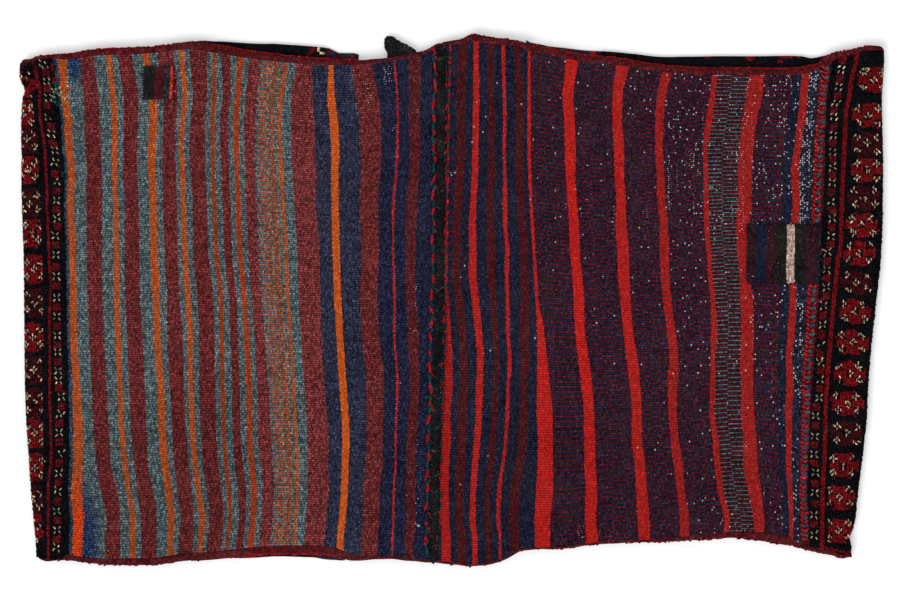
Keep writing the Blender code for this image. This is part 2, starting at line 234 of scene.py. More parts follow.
def newPiece(name, points, faces, material, smooth=True):
    mesh = bpy.data.meshes.new(name)
    points = np.array(points, float) + np.array((bag["shiftX"], 0.00002, 0))
    mesh.from_pydata(points.tolist(), [], faces if isinstance(faces, list) else faces.tolist())
    mesh.polygons.foreach_set("use_smooth", [smooth] * len(mesh.polygons))
    mesh.materials.append(material)
    mesh.update()
    made = bpy.data.objects.new(name, mesh)
    bpy.context.scene.collection.objects.link(made)
    return made


def finishPiece(made, node):
    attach(made, "root")
    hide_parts(node)
    return made


def gridFaces(rows, columns, first=0):
    i, j = np.meshgrid(np.arange(rows - 1), np.arange(columns - 1), indexing="ij")
    a = (first + i * columns + j).ravel()
    return np.stack([a, a + columns, a + columns + 1, a + 1], 1)


def closedSheet(name, upper, lower, material, uv=None):
    # two grids of one shape, upper face first, joined round the rim; rows run along y, columns along x
    rows, columns = upper.shape[:2]
    count = rows * columns
    rim = [i * columns for i in range(rows)]
    rim += [(rows - 1) * columns + j for j in range(1, columns)]
    rim += [i * columns + columns - 1 for i in range(rows - 2, -1, -1)]
    rim = np.array(rim + list(range(columns - 2, 0, -1)))
    after = np.roll(rim, -1)
    around = np.stack([after, rim, rim + count, after + count], 1)
    faces = np.concatenate([gridFaces(rows, columns), gridFaces(rows, columns, count)[:, ::-1], around])
    if np.cross(upper[1, 0] - upper[0, 0], upper[0, 1] - upper[0, 0])[2] < 0:
        faces = faces[:, ::-1]
    made = newPiece(name, np.concatenate([upper.reshape(-1, 3), lower.reshape(-1, 3)]), faces, material)
    if uv is not None:
        both = np.concatenate([uv.reshape(-1, 2)] * 2)
        made.data.uv_layers.new(name="weave").data.foreach_set("uv", both[faces.ravel()].ravel())
    return made


def tubeFaces(count, sides):
    # the skin of a tube of rings, whose two end points follow the rings
    i, k = np.meshgrid(np.arange(count - 1), np.arange(sides), indexing="ij")
    a, b = (i * sides + k).ravel(), (i * sides + (k + 1) % sides).ravel()
    faces = np.stack([a, b, b + sides, a + sides], 1).tolist()
    first, last = count * sides, (count - 1) * sides
    for k in range(sides):
        faces.append([first, (k + 1) % sides, k])
        faces.append([first + 1, last + k, last + (k + 1) % sides])
    return faces


def lengthAlong(line):
    return np.concatenate([[0], np.cumsum(np.linalg.norm(np.diff(line, axis=0), axis=1))])


def unitSteps(line):
    # which way the line runs at each of its points
    ahead = np.gradient(line, axis=0)
    return ahead / np.linalg.norm(ahead, axis=1)[:, None]


def paintCorners(made, colours):
    # one colour for each face, kept on its corners
    layer = made.data.color_attributes.new("yarn", "FLOAT_COLOR", "CORNER")
    counts = np.zeros(len(made.data.polygons), int)
    made.data.polygons.foreach_get("loop_total", counts)
    layer.data.foreach_set("color", np.repeat(colours, counts, axis=0).ravel())


def addNode(tree, kind, sockets=None, **settings):
    made = tree.nodes.new(kind)
    for key, value in settings.items():
        setattr(made, key, value)
    for key, value in (sockets or {}).items():
        if isinstance(value, Wire):
            tree.links.new(value.socket, made.inputs[key])
        else:
            made.inputs[key].default_value = value
    return made


def operation(how, swapped=False):
    # arithmetic between shader values and numbers
    def run(a, b=0.0):
        first, second = (b, a) if swapped else (a, b)
        return a.make("ShaderNodeMath", 0, {0: first, 1: second}, operation=how)

    return run


class Wire:
    # a shader value that takes part in plain arithmetic; numbers stay unlinked on the sockets
    def __init__(self, tree, socket):
        self.tree, self.socket = tree, socket

    __add__ = __radd__ = operation("ADD")
    __mul__ = __rmul__ = operation("MULTIPLY")
    __sub__, __rsub__ = operation("SUBTRACT"), operation("SUBTRACT", True)
    __pow__, __rpow__ = operation("POWER"), operation("POWER", True)
    __truediv__, __mod__, __abs__ = operation("DIVIDE"), operation("MODULO"), operation("ABSOLUTE")
    __gt__, __lt__ = operation("GREATER_THAN"), operation("LESS_THAN")
    floor, fract = operation("FLOOR"), operation("FRACT")
    least, most = operation("MINIMUM"), operation("MAXIMUM")

    def make(self, kind, out, sockets, **settings):
        return Wire(self.tree, addNode(self.tree, kind, sockets, **settings).outputs[out])

    def vector(self, how, *others):
        return self.make("ShaderNodeVectorMath", 0, dict(enumerate((self, *others))), operation=how)

    def scaled(self, gain):
        return self.make("ShaderNodeVectorMath", 0, {0: self, "Scale": gain}, operation="SCALE")

    def part(self, axis):
        return self.make("ShaderNodeSeparateXYZ", axis, {0: self})

    def noise(self, scale, detail=2.0, rough=0.5):
        sockets = {"Vector": self, "Scale": scale, "Detail": detail, "Roughness": rough}
        return self.make("ShaderNodeTexNoise", "Fac", sockets)

    def scatter(self, offset=None, out="Value"):
        # one random value for each cell
        moved = self.vector("ADD", offset) if offset else self
        return self.make("ShaderNodeTexWhiteNoise", out, {"Vector": moved}, noise_dimensions="3D")

    def remap(self, low, high, toLow=0.0, toHigh=1.0):
        sockets = {"Value": self, "From Min": low, "From Max": high, "To Min": toLow, "To Max": toHigh}
        return self.make("ShaderNodeMapRange", "Result", sockets)


def vectorOf(x, y):
    return x.make("ShaderNodeCombineXYZ", 0, {"X": x, "Y": y})


def blend(share, a, b):
    return share.make("ShaderNodeMix", 2, {"Factor": share, 6: a, 7: b}, data_type="RGBA")


def between(share, a, b):
    return a * (1.0 - share) + b * share


def ramp(value, start, end, stops):
    # the colour and the fourth number of the stop that a place has passed; stops are (place, colour)
    made = addNode(value.tree, "ShaderNodeValToRGB", {"Fac": value.remap(start, end)})
    made.color_ramp.interpolation = "CONSTANT"
    elements = made.color_ramp.elements
    elements.remove(elements[1])
    elements[0].color = stops[0][1]
    for place, colour in stops[1:]:
        elements.new((place - start) / (end - start)).color = colour
    return Wire(value.tree, made.outputs["Color"]), Wire(value.tree, made.outputs["Alpha"])


def newGroup(name, kinds):
    # a group with these inputs, which come back as wires, and one output, a colour
    group = bpy.data.node_groups.new(name, "ShaderNodeTree")
    for label, kind in kinds.items():
        group.interface.new_socket(label, in_out="INPUT", socket_type="NodeSocket" + kind)
    group.interface.new_socket("Colour", in_out="OUTPUT", socket_type="NodeSocketColor")
    given = addNode(group, "NodeGroupInput")
    return group, [Wire(group, given.outputs[label]) for label in kinds]


def endGroup(group, colour):
    addNode(group, "NodeGroupOutput", {"Colour": colour})


def useGroup(tree, group, **sockets):
    return Wire(tree, addNode(tree, "ShaderNodeGroup", sockets, node_tree=group).outputs["Colour"])


def newMaterial(name, roughness):
    material = bpy.data.materials.new(name)
    material.use_nodes = True
    shader = material.node_tree.nodes["Principled BSDF"]
    shader.inputs["Roughness"].default_value = roughness
    shader.inputs["Specular IOR Level"].default_value = 0.02
    return material, material.node_tree


def endMaterial(tree, colour, height, strength, distance):
    # the cloth's colour and its relief go to the shader
    shader = tree.nodes["Principled BSDF"]
    bump = addNode(tree, "ShaderNodeBump", {"Height": height, "Strength": strength, "Distance": distance})
    tree.links.new(colour.socket, shader.inputs["Base Color"])
    tree.links.new(bump.outputs["Normal"], shader.inputs["Normal"])


def objectPlace(tree):
    return Wire(tree, addNode(tree, "ShaderNodeTexCoord").outputs["Object"])


def weavePlace(tree):
    uv = Wire(tree, addNode(tree, "ShaderNodeUVMap", uv_map="weave").outputs["UV"])
    return uv.part("X"), uv.part("Y")


# uneven yarn: each stitch, each pick and each patch of cloth a little lighter or darker
tones = {
    "stitch": 2.3, "wool": (520, 2.6), "pick": 0.5, "cloth": (90, 0.5), "area": (9, 0.7), "most": 3.4,
    "pickReach": (0.17, 1, 1),
    "paleFrom": 0.80, "paleGain": (1.75, 1.8, 1.9), "paleAdd": (0.005, 0.009, 0.013),
}
yarnTone, (colour, place, stitch, depth) = newGroup(
    "yarnTone", {"Colour": "Color", "Place": "Vector", "Stitch": "Vector", "Depth": "Float"})
pick = stitch.vector("MULTIPLY", tones["pickReach"]).vector("FLOOR")
tone = (stitch.scatter() - 0.5) * tones["stitch"] + (pick.scatter() - 0.5) * tones["pick"]
for size, weight in (tones["wool"], tones["cloth"]):
    tone = tone + (place.noise(size, 2.0, 0.6) - 0.5) * weight
tone = tone + (place.noise(tones["area"][0]) - 0.5) * tones["area"][1]
toned = colour.scaled((2.0 ** (tone * depth)).least(tones["most"]))
pale = stitch.scatter((17.3, 5.7, 2.9)).remap(tones["paleFrom"], 1.0) * depth
paler = colour.vector("MULTIPLY_ADD", tones["paleGain"], tones["paleAdd"])
endGroup(yarnTone, toned.vector("ADD", paler.scaled(pale)))

# greyed, dusty wear in soft patches
dust = {"colour": (128, 116, 104), "size": 23, "from": 0.42, "to": 0.72}
wornDust, (colour, place, amount) = newGroup(
    "wornDust", {"Colour": "Color", "Place": "Vector", "Amount": "Float"})
cloud = place.noise(dust["size"], 4.0, 0.65).remap(dust["from"], dust["to"])
endGroup(wornDust, blend(cloud * amount, colour, dye(*dust["colour"])))
print("shared shader groups ready")

# the striped cloth of the two backs
kilim = {
    "ribs": 221, "ribPitch": 0.0033, "rowsPerRib": 4, "ribDepth": 0.00042,  # warp ribs across the cloth
    "profile": (1.0, 0.22, 0.0, 0.22),  # how deep each row of a rib lies
    "widestColumn": 12.0,  # pixels between two columns of the mesh
    "stitch": 0.0016,  # one float of weft along a rib
    "tuck": 0.0018, "seamTuck": 0.0010, "pileTuck": 0.0015,  # how far the cloth runs under its neighbours
    "thickness": 0.82, "wander": 0.0004,
}
woolDyes = {  # red, green, blue, and how strongly the wool's tone varies
    # the second dye is for the grey stripe next to the left pile, darker and a little bluer than grey: in
    # part painted shadow of the tufts
    "grey": (58, 79, 89, 1.0), "pileShadowGrey": (42, 56, 70, 0.9), "orange": (160, 72, 33, 0.5),
    "brightOrange": (186, 80, 27, 0.4), "deepOrange": (138, 52, 22, 0.5), "rust": (146, 54, 26, 0.5),
    "maroon": (92, 34, 35, 0.9), "oldMaroon": (101, 41, 42, 0.9), "dimMaroon": (67, 20, 24, 0.6),
    "wine": (80, 28, 31, 0.75), "navy": (38, 40, 58, 0.96), "nightNavy": (27, 29, 50, 0.9),
    "inkNavy": (26, 27, 44, 0.8), "slate": (51, 76, 86, 0.9), "teal": (62, 84, 90, 0.9),
    "brown": (112, 80, 60, 0.9), "scarlet": (176, 31, 27, 0.36), "deepScarlet": (154, 28, 25, 0.36),
    "oldScarlet": (166, 31, 28, 0.4), "dullScarlet": (146, 31, 29, 0.45), "thinRed": (150, 34, 32, 0.6),
    "dimRed": (77, 16, 19, 0.75), "emberRed": (59, 14, 17, 0.75), "flecked": (28, 29, 44, 1.0),
    "chainRed": (74, 20, 26, 1.0),
}
# stripe edges across the halves: the woven order is fixed, the cloth pulls them to and fro
leftOrder = [
    # the first stripe, beside the pile, is grey darkened in part as painted shadow of the tufts
    "pileShadowGrey", "orange", "grey", "maroon", "grey", "orange", "grey", "maroon", "grey", "orange", "grey",
    "maroon", "grey", "orange", "grey", "maroon", "grey", "deepOrange", "grey", "maroon", "grey", "rust",
    "grey", "oldMaroon", "grey", "dots", "orange", "grey", "oldMaroon", "navy", "brightOrange", "navy",
    "maroon", "nightNavy", "thinRed", "nightNavy", "wine", "nightNavy",
]
leftGuides = {
    70: [
        56.5, 59.5, 67.5, 81.3, 96, 108, 113.5, 120, 134.7, 144.5, 152, 160, 175.1, 180.5, 185.6, 191.5,
        207, 212.5, 216.5, 222.5, 230.8, 236.5, 243.4, 248, 260.3, 262, 283.5, 287, 296, 312.8, 328.8,
        333.5, 351.8, 373.4, 394, 396.7, 409, 420.7, 434.5,
    ],
    95: [
        60, 62, 68.5, 83.8, 99, 110.7, 116.7, 123.3, 139, 149, 156.6, 163.8, 177.8, 182.7, 187.8, 193.4,
        207.2, 212.5, 217, 223, 230.8, 235, 241.4, 246, 258, 260, 278.5, 283.3, 292, 313, 327.5, 334.7, 355,
        378.5, 396.2, 398.4, 409.8, 420.2, 433,
    ],
    120: [
        62.8, 64.6, 72.7, 85, 100.3, 112, 118.3, 123.9, 139.1, 149.2, 157.6, 164.3, 176.4, 180.8, 185.7,
        191, 204.8, 210.5, 215.2, 220.5, 228.2, 233, 239.3, 244, 256.1, 258.3, 278, 281.2, 291.5, 314.5,
        329.5, 337.7, 359.3, 381.2, 396.6, 399.2, 409, 419.8, 432,
    ],
    150: [
        64.2, 66, 73.8, 85.7, 101.9, 112.3, 118.2, 123.9, 137.8, 148, 156, 162.5, 175.1, 179.3, 184.3,
        190.2, 205.2, 211.2, 215.4, 220.8, 228.7, 233.6, 239.9, 244.3, 255.4, 258.2, 278.8, 282.2, 291.8,
        316, 331.4, 339.2, 360.3, 382, 395.6, 398.9, 410.2, 420.4, 431,
    ],
    173: [
        67, 69, 75.8, 87.2, 102.7, 112.7, 117.9, 123.4, 138, 148.4, 156.1, 163.1, 176.2, 180.5, 185.8,
        190.9, 205.4, 211.6, 215.3, 221.9, 229, 235, 239.8, 245, 255.6, 258.9, 279.7, 283.4, 293, 316.6,
        331.2, 338.5, 360.6, 380.6, 394.8, 397.6, 409.5, 418.7, 431,
    ],
    200: [
        66, 67.7, 74.5, 86.4, 102.7, 113.6, 118.6, 125.1, 139.1, 149.8, 156.7, 163.4, 176.9, 181.1, 186.2,
        193.2, 206.9, 212.6, 216.8, 222.9, 230.6, 235.6, 241.3, 246, 257.1, 260.2, 281.6, 284.4, 294.6,
        316.3, 331.7, 338.7, 359.1, 378.6, 392.3, 395.4, 406.5, 417.5, 431,
    ],
    250: [
        67.8, 69.6, 76.4, 87, 102.5, 114.4, 119.8, 125.2, 140.1, 150.4, 158.1, 165.1, 178.1, 182.6, 187.8,
        193.8, 208.5, 214.1, 218.7, 224.5, 232, 237.3, 243.1, 247.9, 259.2, 262.3, 285, 287.6, 297.8, 319.6,
        332.7, 339.6, 360.9, 379.2, 392, 394.3, 405.5, 415.5, 430.5,
    ],
    300: [
        68.6, 70.5, 77.3, 88, 103, 114.8, 120.2, 125.6, 140.5, 152.8, 160.2, 167.5, 179.9, 185.5, 191.1,
        197.9, 213.3, 218.8, 223.4, 229.4, 236.9, 241.9, 247.6, 251.7, 262.2, 265, 286.7, 289.3, 299.5,
        320.6, 334.3, 341.3, 359.9, 377.9, 393.2, 396.2, 406.8, 416, 429,
    ],
    330: [
        69, 70.7, 77.6, 89.3, 104.3, 115.5, 121.5, 127.2, 143, 153.7, 160.7, 167.5, 182.4, 187.5, 193.1,
        199.5, 214.5, 219.5, 224, 230.4, 238.1, 243.7, 249.6, 254.1, 264.9, 267.8, 288.8, 291.5, 301.3,
        321.7, 336.2, 342.9, 361.1, 379.3, 393, 395.5, 408, 418.6, 429,
    ],
    385: [
        70.5, 73.2, 80.9, 91.9, 107.1, 117.7, 123.1, 129.1, 145.1, 157.3, 164.4, 170.3, 184.1, 188.7, 193.7,
        200, 215.2, 220.9, 225.4, 232.7, 239.7, 246.1, 252.4, 256.8, 268.8, 271.2, 292.2, 294.6, 305, 324.8,
        339.4, 346.6, 366.1, 384.4, 396.2, 399, 410, 419.1, 429,
    ],
    440: [
        71.3, 73.6, 84.2, 94.8, 110, 120.3, 125.6, 132, 147.6, 158.9, 166.7, 173.2, 186.7, 190.8, 196.2,
        202, 216.7, 222.5, 226.6, 233.4, 240.9, 247, 253.2, 257.8, 272.1, 275, 295.5, 297.6, 308.2, 329.1,
        342.5, 349.7, 366.3, 383.1, 394.5, 397, 407, 416.4, 428,
    ],
    465: [
        71.3, 73.4, 83.5, 97.2, 111.7, 123.1, 128.7, 134.8, 148.9, 161.4, 169, 174.8, 188.9, 192.8, 198.2,
        203.2, 218.6, 224.3, 228.5, 235.3, 243.3, 248.9, 255.3, 260.7, 273.5, 276.2, 296.7, 299.1, 308.2,
        328.7, 341.8, 348.7, 365.2, 383.1, 394.5, 397, 406.6, 415.5, 427.5,
    ],
    490: [
        69.8, 71.6, 82.7, 101, 117.6, 126.8, 131.5, 137.5, 153.8, 164.8, 172.3, 177.8, 191.8, 196.1, 201.7,
        207.5, 221.7, 227, 231.4, 238.4, 246.3, 250.8, 257.6, 262.2, 274.6, 276.8, 296.4, 298.7, 308.2, 329,
        341.1, 348, 363.5, 380.1, 392.5, 395, 406.2, 415.6, 426,
    ],
    520: [
        71.8, 73.5, 84.3, 107, 121, 130.6, 136.1, 141.2, 157.2, 167.9, 175, 181.1, 193.8, 199.1, 205.5,
        209.8, 223.9, 228.9, 232.4, 239.4, 246, 250.1, 256.7, 261.2, 273.1, 275.3, 294.8, 297.5, 306.9,
        326.5, 338.7, 345.5, 362.8, 379.4, 392.1, 394.6, 407, 415.5, 424.8,
    ],
    545: [
        70.8, 72.8, 82.6, 105.7, 120.6, 130.7, 136.5, 141.5, 157.1, 167.7, 174, 179.5, 193, 198.5, 203,
        207.3, 221.4, 225.5, 229, 236.3, 243.5, 247.5, 254, 258.8, 270.8, 273.2, 293, 295.8, 305, 324.5,
        336.8, 343.6, 361, 378, 391, 393.5, 405.2, 414, 424,
    ],
}
rightOrder = [
    "inkNavy", "deepScarlet", "inkNavy", "dimMaroon", "inkNavy", "oldScarlet", "inkNavy", "dimMaroon",
    "inkNavy", "oldScarlet", "inkNavy", "dimMaroon", "inkNavy", "scarlet", "dash", "scarlet", "dash",
    "oldScarlet", "dash", "dullScarlet", "dash", "dullScarlet", "tealDash", "dullScarlet", "dash",
    "dullScarlet", "flecked", "chainRed",
]
rightGuides = {
    70: [
        449, 449.4, 449.8, 457.8, 466.8, 472.5, 477.8, 487.5, 494, 501.7, 505.5, 513.7, 521, 528, 530.3,
        563.3, 576.3, 615, 628, 660.5, 671, 712, 718, 749, 763, 802, 809, 820.5, 830,
    ],
    95: [
        448.5, 448.9, 449.3, 456.7, 465.4, 472, 478.3, 488, 493.8, 502.7, 506, 514.3, 523.7, 527.7, 530.4,
        560.9, 572.7, 612, 622.5, 656, 665.3, 708.9, 715, 746, 761.8, 799.5, 807.2, 817.8, 826.5,
    ],
    120: [
        447.5, 448, 448.5, 457.8, 465.2, 471.6, 477.9, 487.8, 494.9, 503, 506.5, 514.6, 523.5, 527.7, 531,
        562.7, 573.9, 611.7, 621.7, 654, 662.5, 704.9, 712.7, 742, 756, 797.3, 805, 815.5, 825,
    ],
    150: [
        447, 447.5, 448, 456.3, 465.5, 471.3, 477.4, 488.5, 494, 502.5, 506, 514.6, 523, 528, 530.6, 563,
        575.2, 613, 624, 654, 662, 702, 707.3, 739, 752.5, 793.5, 800, 812.7, 824,
    ],
    173: [
        446.5, 447, 447.6, 455, 464.3, 470.7, 477, 487.5, 495.3, 503, 506.4, 514.4, 523, 528.3, 531.2,
        564.4, 574.6, 613.6, 623.4, 655.4, 663.5, 702.6, 707.9, 737.6, 751, 790.6, 798.2, 812.2, 823.8,
    ],
    200: [
        446.3, 446.8, 447.2, 454, 462.9, 469.5, 475.3, 485.7, 493.2, 502.7, 507.3, 515.8, 524, 529.5, 532.2,
        566, 576.3, 615.4, 625.5, 655.8, 664.5, 702.7, 708.3, 738, 750.3, 791.9, 799.2, 810.6, 822.3,
    ],
    225: [
        446, 446.4, 446.8, 452.8, 461.1, 467.7, 474.5, 487, 494.6, 503, 507.3, 516.8, 525.6, 531, 533.7,
        567.5, 578.3, 614.7, 626.3, 658.7, 667.2, 703, 709, 736, 748.5, 790.5, 797.7, 810.5, 820.6,
    ],
    250: [
        445.5, 446, 446.4, 453.2, 461.2, 468, 475.2, 486.6, 495.1, 505, 509.5, 518.7, 528, 532.7, 535,
        568.3, 579.3, 616.5, 628.3, 658.3, 668.3, 705.5, 710.7, 737, 747.5, 789.6, 796.5, 809.6, 819,
    ],
    275: [
        445, 445.2, 446.2, 452.4, 460.7, 467.5, 475.3, 487.3, 495.3, 504.7, 508.7, 518.8, 528.7, 534.2,
        536.9, 571, 581.5, 617.5, 629.3, 659.5, 668.7, 707, 712.3, 739, 748.5, 788.5, 795.5, 808, 818,
    ],
    300: [
        444.8, 445.2, 447.8, 455.3, 463.8, 470, 477.7, 489.7, 496.2, 505.7, 509.5, 518.8, 528.7, 535.5,
        538.5, 572, 583.3, 619.7, 630.5, 661.5, 670.7, 709.5, 715.3, 740, 752, 789, 795.5, 805.5, 817.5,
    ],
    330: [
        445.5, 446.2, 450, 458.3, 466.3, 473.7, 480.6, 491.7, 497.9, 506, 509.6, 518.3, 528.2, 537, 543.8,
        573.6, 584.4, 622.6, 632.6, 665.6, 674.4, 709.7, 717, 741, 752.8, 787.2, 794.6, 804.6, 815.8,
    ],
    360: [
        444.5, 445, 451.3, 460.2, 467.8, 475.7, 482.5, 494.2, 499, 507.5, 511.8, 519.3, 528.2, 537, 547,
        576.8, 588.5, 625.8, 637.8, 668, 677.8, 709.5, 715, 739.5, 752.3, 785.5, 791.6, 802.2, 813,
    ],
    385: [
        444, 444.3, 451.8, 460, 468.8, 474.9, 481.7, 493.4, 498.2, 506.6, 509.8, 518.7, 527, 536.5, 550,
        579.6, 591.6, 629, 640.2, 666.7, 676.6, 709, 715.7, 740.8, 752.2, 786.2, 792.9, 801, 811,
    ],
    410: [
        443, 443.5, 449.7, 457.5, 467.4, 474.5, 481.3, 491.5, 497.4, 505.5, 509.2, 518, 527, 536.2, 552.2,
        582.2, 593.3, 631.3, 641.5, 667.2, 676, 708.5, 714.3, 740.8, 753.5, 784.6, 791.8, 801.3, 809.7,
    ],
    440: [
        441, 441.5, 449.8, 457.7, 466.5, 473, 479, 489.8, 496, 504, 507.6, 516.7, 526, 537.5, 552.7, 582.5,
        594.5, 630.9, 641.7, 669.5, 678.4, 711.5, 718.5, 743, 755.8, 785.7, 791.6, 800, 808.2,
    ],
    465: [
        440, 440.3, 448.2, 456.3, 465.3, 471, 477, 487.2, 494, 501, 504.4, 513.5, 522, 536.9, 552.8, 582.9,
        595, 634, 645, 672.3, 682.6, 713.6, 720.6, 743, 757, 785.5, 790.9, 800, 807.3,
    ],
    490: [
        439.7, 440, 448, 455.3, 464, 469.5, 475, 485, 490, 497, 501.6, 509, 517.7, 535.6, 553, 583.6, 596.6,
        635.6, 647, 675.5, 684, 716.4, 723.4, 748, 760.5, 787.7, 792, 799, 806,
    ],
    520: [
        439.7, 440, 448.6, 455.5, 463.7, 468.6, 474.5, 484.3, 489.7, 496, 500.3, 507, 516, 534.2, 550,
        583.4, 595.7, 636.6, 649.3, 678.6, 688.4, 723, 729.8, 753.3, 763.7, 788.9, 793.2, 799.8, 808,
    ],
    540: [
        440.5, 441, 450, 457.8, 466.4, 471.5, 476.5, 486, 491.5, 498.8, 501.5, 508.9, 517.5, 534.5, 550,
        584.3, 597.4, 638, 650, 679, 688, 723.5, 729.5, 754, 763, 789, 792.5, 800.4, 808,
    ],
}
guideRow = 173  # the row of the view that the cloth's own places are counted by
rightNominal = [438.0, 440.2]  # the two first places, which the seam hides at that row
# how close the ribs lie, as pixels between two of them at heights of the view
ribPitches = {
    -1: smoothLine([(40, 2.5), (100, 2.47), (160, 2.2), (220, 2.05), (280, 2.42), (340, 2.2), (400, 2.4),
                    (460, 2.36), (530, 2.45), (575, 2.45)]),
    1: smoothLine([(40, 2.25), (110, 2.14), (160, 2.2), (220, 2.03), (280, 2.2), (330, 2.55), (400, 2.6),
                   (460, 2.5), (520, 2.35), (575, 2.3)]),
}
leftCloth = {
    "dotStops": [0, 3.4, 5.2, 9.2, 11.5, 14.5, 16.5, 21.5],  # a dotted band, whose ribs take turns
    "dots": (["teal", "rust", "teal", "brown", "rust", "brown", "teal"],
             ["orange", "teal", "orange", "brown", "teal", "rust", "brown"]),
    "carded": (0.75, (89, 90, 80)),  # single picks of paler wool in the grey
    # deep blue patches in the grey, in pixels: middle, half width, half height
    "blues": ((82, 50, 8, 36), (74, 552, 11.5, 74)), "blueShare": 0.92, "blue": (28, 45, 76),
    "lowOrange": (80.0, -0.24, -0.31, (196, 62, 20)),  # the first orange stripe is brighter low down
    "dull": (165, 55, 0.15),  # duller low down: middle, half width, amount
}
rightCloth = {
    # where the order of the two picks is swapped inside the dashed bands
    "swaps": [533.2, 577, 590.5, 604.8, 626, 636, 645, 666, 673, 684, 693, 722, 753.5],
    "picks": ({"dash": "dimRed", "tealDash": "emberRed"}, {"dash": "inkNavy", "tealDash": "slate"}),
    "lastBand": (25, [777.2, 778.7], ["dimRed", "inkNavy"]),  # it ends in a thin red line and plain navy
    "crest": (0.42, 0.78), "tealCrest": (0.36, 0.66),  # the red pick shows only along a rib's crest
    "bare": (205, 200, 202), "dull": (600, 90, 0.11),
}
# how much of the right cloth is worn to pale warp, from each place on
fleckShares = [
    (430, 0.0012), (528, 0.003), (564, 0.002), (574.6, 0.005), (613, 0.002), (624, 0.008), (655, 0.004),
    (664, 0.035), (702, 0.006), (708, 0.012), (737, 0.012), (751, 0.05), (778, 0.05), (790, 0.012),
    (798.5, 0.24), (809, 0.03), (816, 0.0),
]
# painted shade for the kilim's furrows and the gaps between floats, and the amount of real dust
furrowShadeAndDust = {"furrow": (1.7, 1.16), "gap": (6.0, 0.62), "unshaded": 0.42, "dust": 0.03}


def backEdges(x, tuck=0.0):
    return edgeY(-1, x) + bindingWidth(-1, x) - tuck, edgeY(1, x) - bindingWidth(1, x) + tuck


def ribShares(half):
    # shares from the lower edge to the upper at which each row of the cloth lies
    low, high = backEdges(toX(250.0 if half < 0 else 630.0))
    heights = np.linspace(float(toPy(high)), float(toPy(low)), 2000)
    pitch = ribPitches[half](heights)
    count = np.concatenate([[0], np.cumsum(np.diff(heights) / ((pitch[1:] + pitch[:-1]) / 2))])
    count *= kilim["ribs"] / count[-1]
    rows = np.linspace(0, kilim["ribs"], kilim["ribs"] * kilim["rowsPerRib"] + 1)
    py = np.interp(rows, count, heights)
    return rows, 1 - (py - heights[0]) / (heights[-1] - heights[0])


def guideColumns(guides, nominal):
    # guide lines at every stripe edge, with more between where they lie far apart
    stations = sorted(guides)
    table = np.array([guides[k] for k in stations], float)
    table = np.concatenate([[table[0] + (table[0] - table[1]) * 0.5], table])
    stations = [stations[0] - 18] + stations
    order = table[stations.index(guideRow)].copy()
    order[:len(nominal)] = nominal
    lines, places = [], []
    for k in range(len(order)):
        lines.append(table[:, k])
        places.append(order[k])
        if k + 1 < len(order):
            parts = max(1, math.ceil((order[k + 1] - order[k]) / kilim["widestColumn"]))
            for m in range(1, parts):
                lines.append(table[:, k] + (table[:, k + 1] - table[:, k]) * m / parts)
                places.append(order[k] + (order[k + 1] - order[k]) * m / parts)
    return [smoothLine(list(zip(stations, line))) for line in lines], places


def kilimGrid(half):
    curves, places = guideColumns(leftGuides, []) if half < 0 else guideColumns(rightGuides, rightNominal)
    rows, shares = ribShares(half)
    share = np.repeat(shares[:, None], len(curves), 1)
    x, y = np.zeros_like(share), np.zeros_like(share)
    for _ in range(5):  # the lines' places depend on y, and y on the edges at x
        for k, curve in enumerate(curves):
            x[:, k] = toX(curve(toPy(y[:, k])))
        # the seam hides the first edge, the pile the last
        if half < 0:
            x[:, -1] = seamLine(y[:, -1]) - kilim["seamTuck"]
            x[:, -2] = np.minimum(x[:, -2], x[:, -1] - 0.004)
            x[:, 0] -= kilim["pileTuck"]
        else:
            x[:, 0] = seamLine(y[:, 0]) + kilim["seamTuck"]
            for k, least in ((1, 0.0006), (2, 0.0003), (3, 0.0006)):
                x[:, k] = np.maximum(x[:, k], x[:, k - 1] + least)
            x[:, -1] += kilim["pileTuck"]
        low, high = backEdges(x, kilim["tuck"])
        y = low + (high - low) * share
    y = y + kilim["wander"] * np.sin(37 * x + 5 * np.sin(23 * y)) * np.sin(np.pi * share)
    depth = kilim["ribDepth"] * (0.85 + 0.3 * np.sin(61 * x) * np.sin(47 * y))
    depth = np.array(kilim["profile"])[np.arange(len(rows)) % kilim["rowsPerRib"]][:, None] * depth
    level = puckeredTop(x, y)
    upper = np.stack([x, y, level + 0.0001 - depth], -1)
    lower = np.stack([x, y, level - bag["clothThickness"] * kilim["thickness"] + depth], -1)
    uv = np.zeros(x.shape + (2,))
    uv[..., 0] = np.array(places)[None, :] * pixel
    uv[..., 1] = rows[:, None] * kilim["ribPitch"]
    return upper, lower, uv


def stripes(places, names):
    return [(place, dye(*woolDyes[name])) for place, name in zip(places, names)]


def grey(share):
    return (share, share, share, 1)


def leftStripes(px, odd):
    # the colour and the tone's depth at each place: plain stripes, then those from the dotted band on
    look, places = leftCloth, leftGuides[guideRow][:-1]
    cut = leftOrder.index("dots")
    colour, depth = ramp(px, 50, 265, stripes(places[:cut], leftOrder[:cut]))
    scale = (places[cut + 1] - places[cut]) / look["dotStops"][-1]
    dotPlaces = [places[cut] + stop * scale for stop in look["dotStops"][:-1]]
    even, odds = [ramp(px, 250, 440, stripes(dotPlaces + places[cut + 1:], dots + leftOrder[cut + 1:]))
                  for dots in look["dots"]]
    beyond = px > places[cut]
    colour = blend(beyond, colour, blend(odd, even[0], odds[0]))
    return colour, between(beyond, depth, between(odd, even[1], odds[1]))


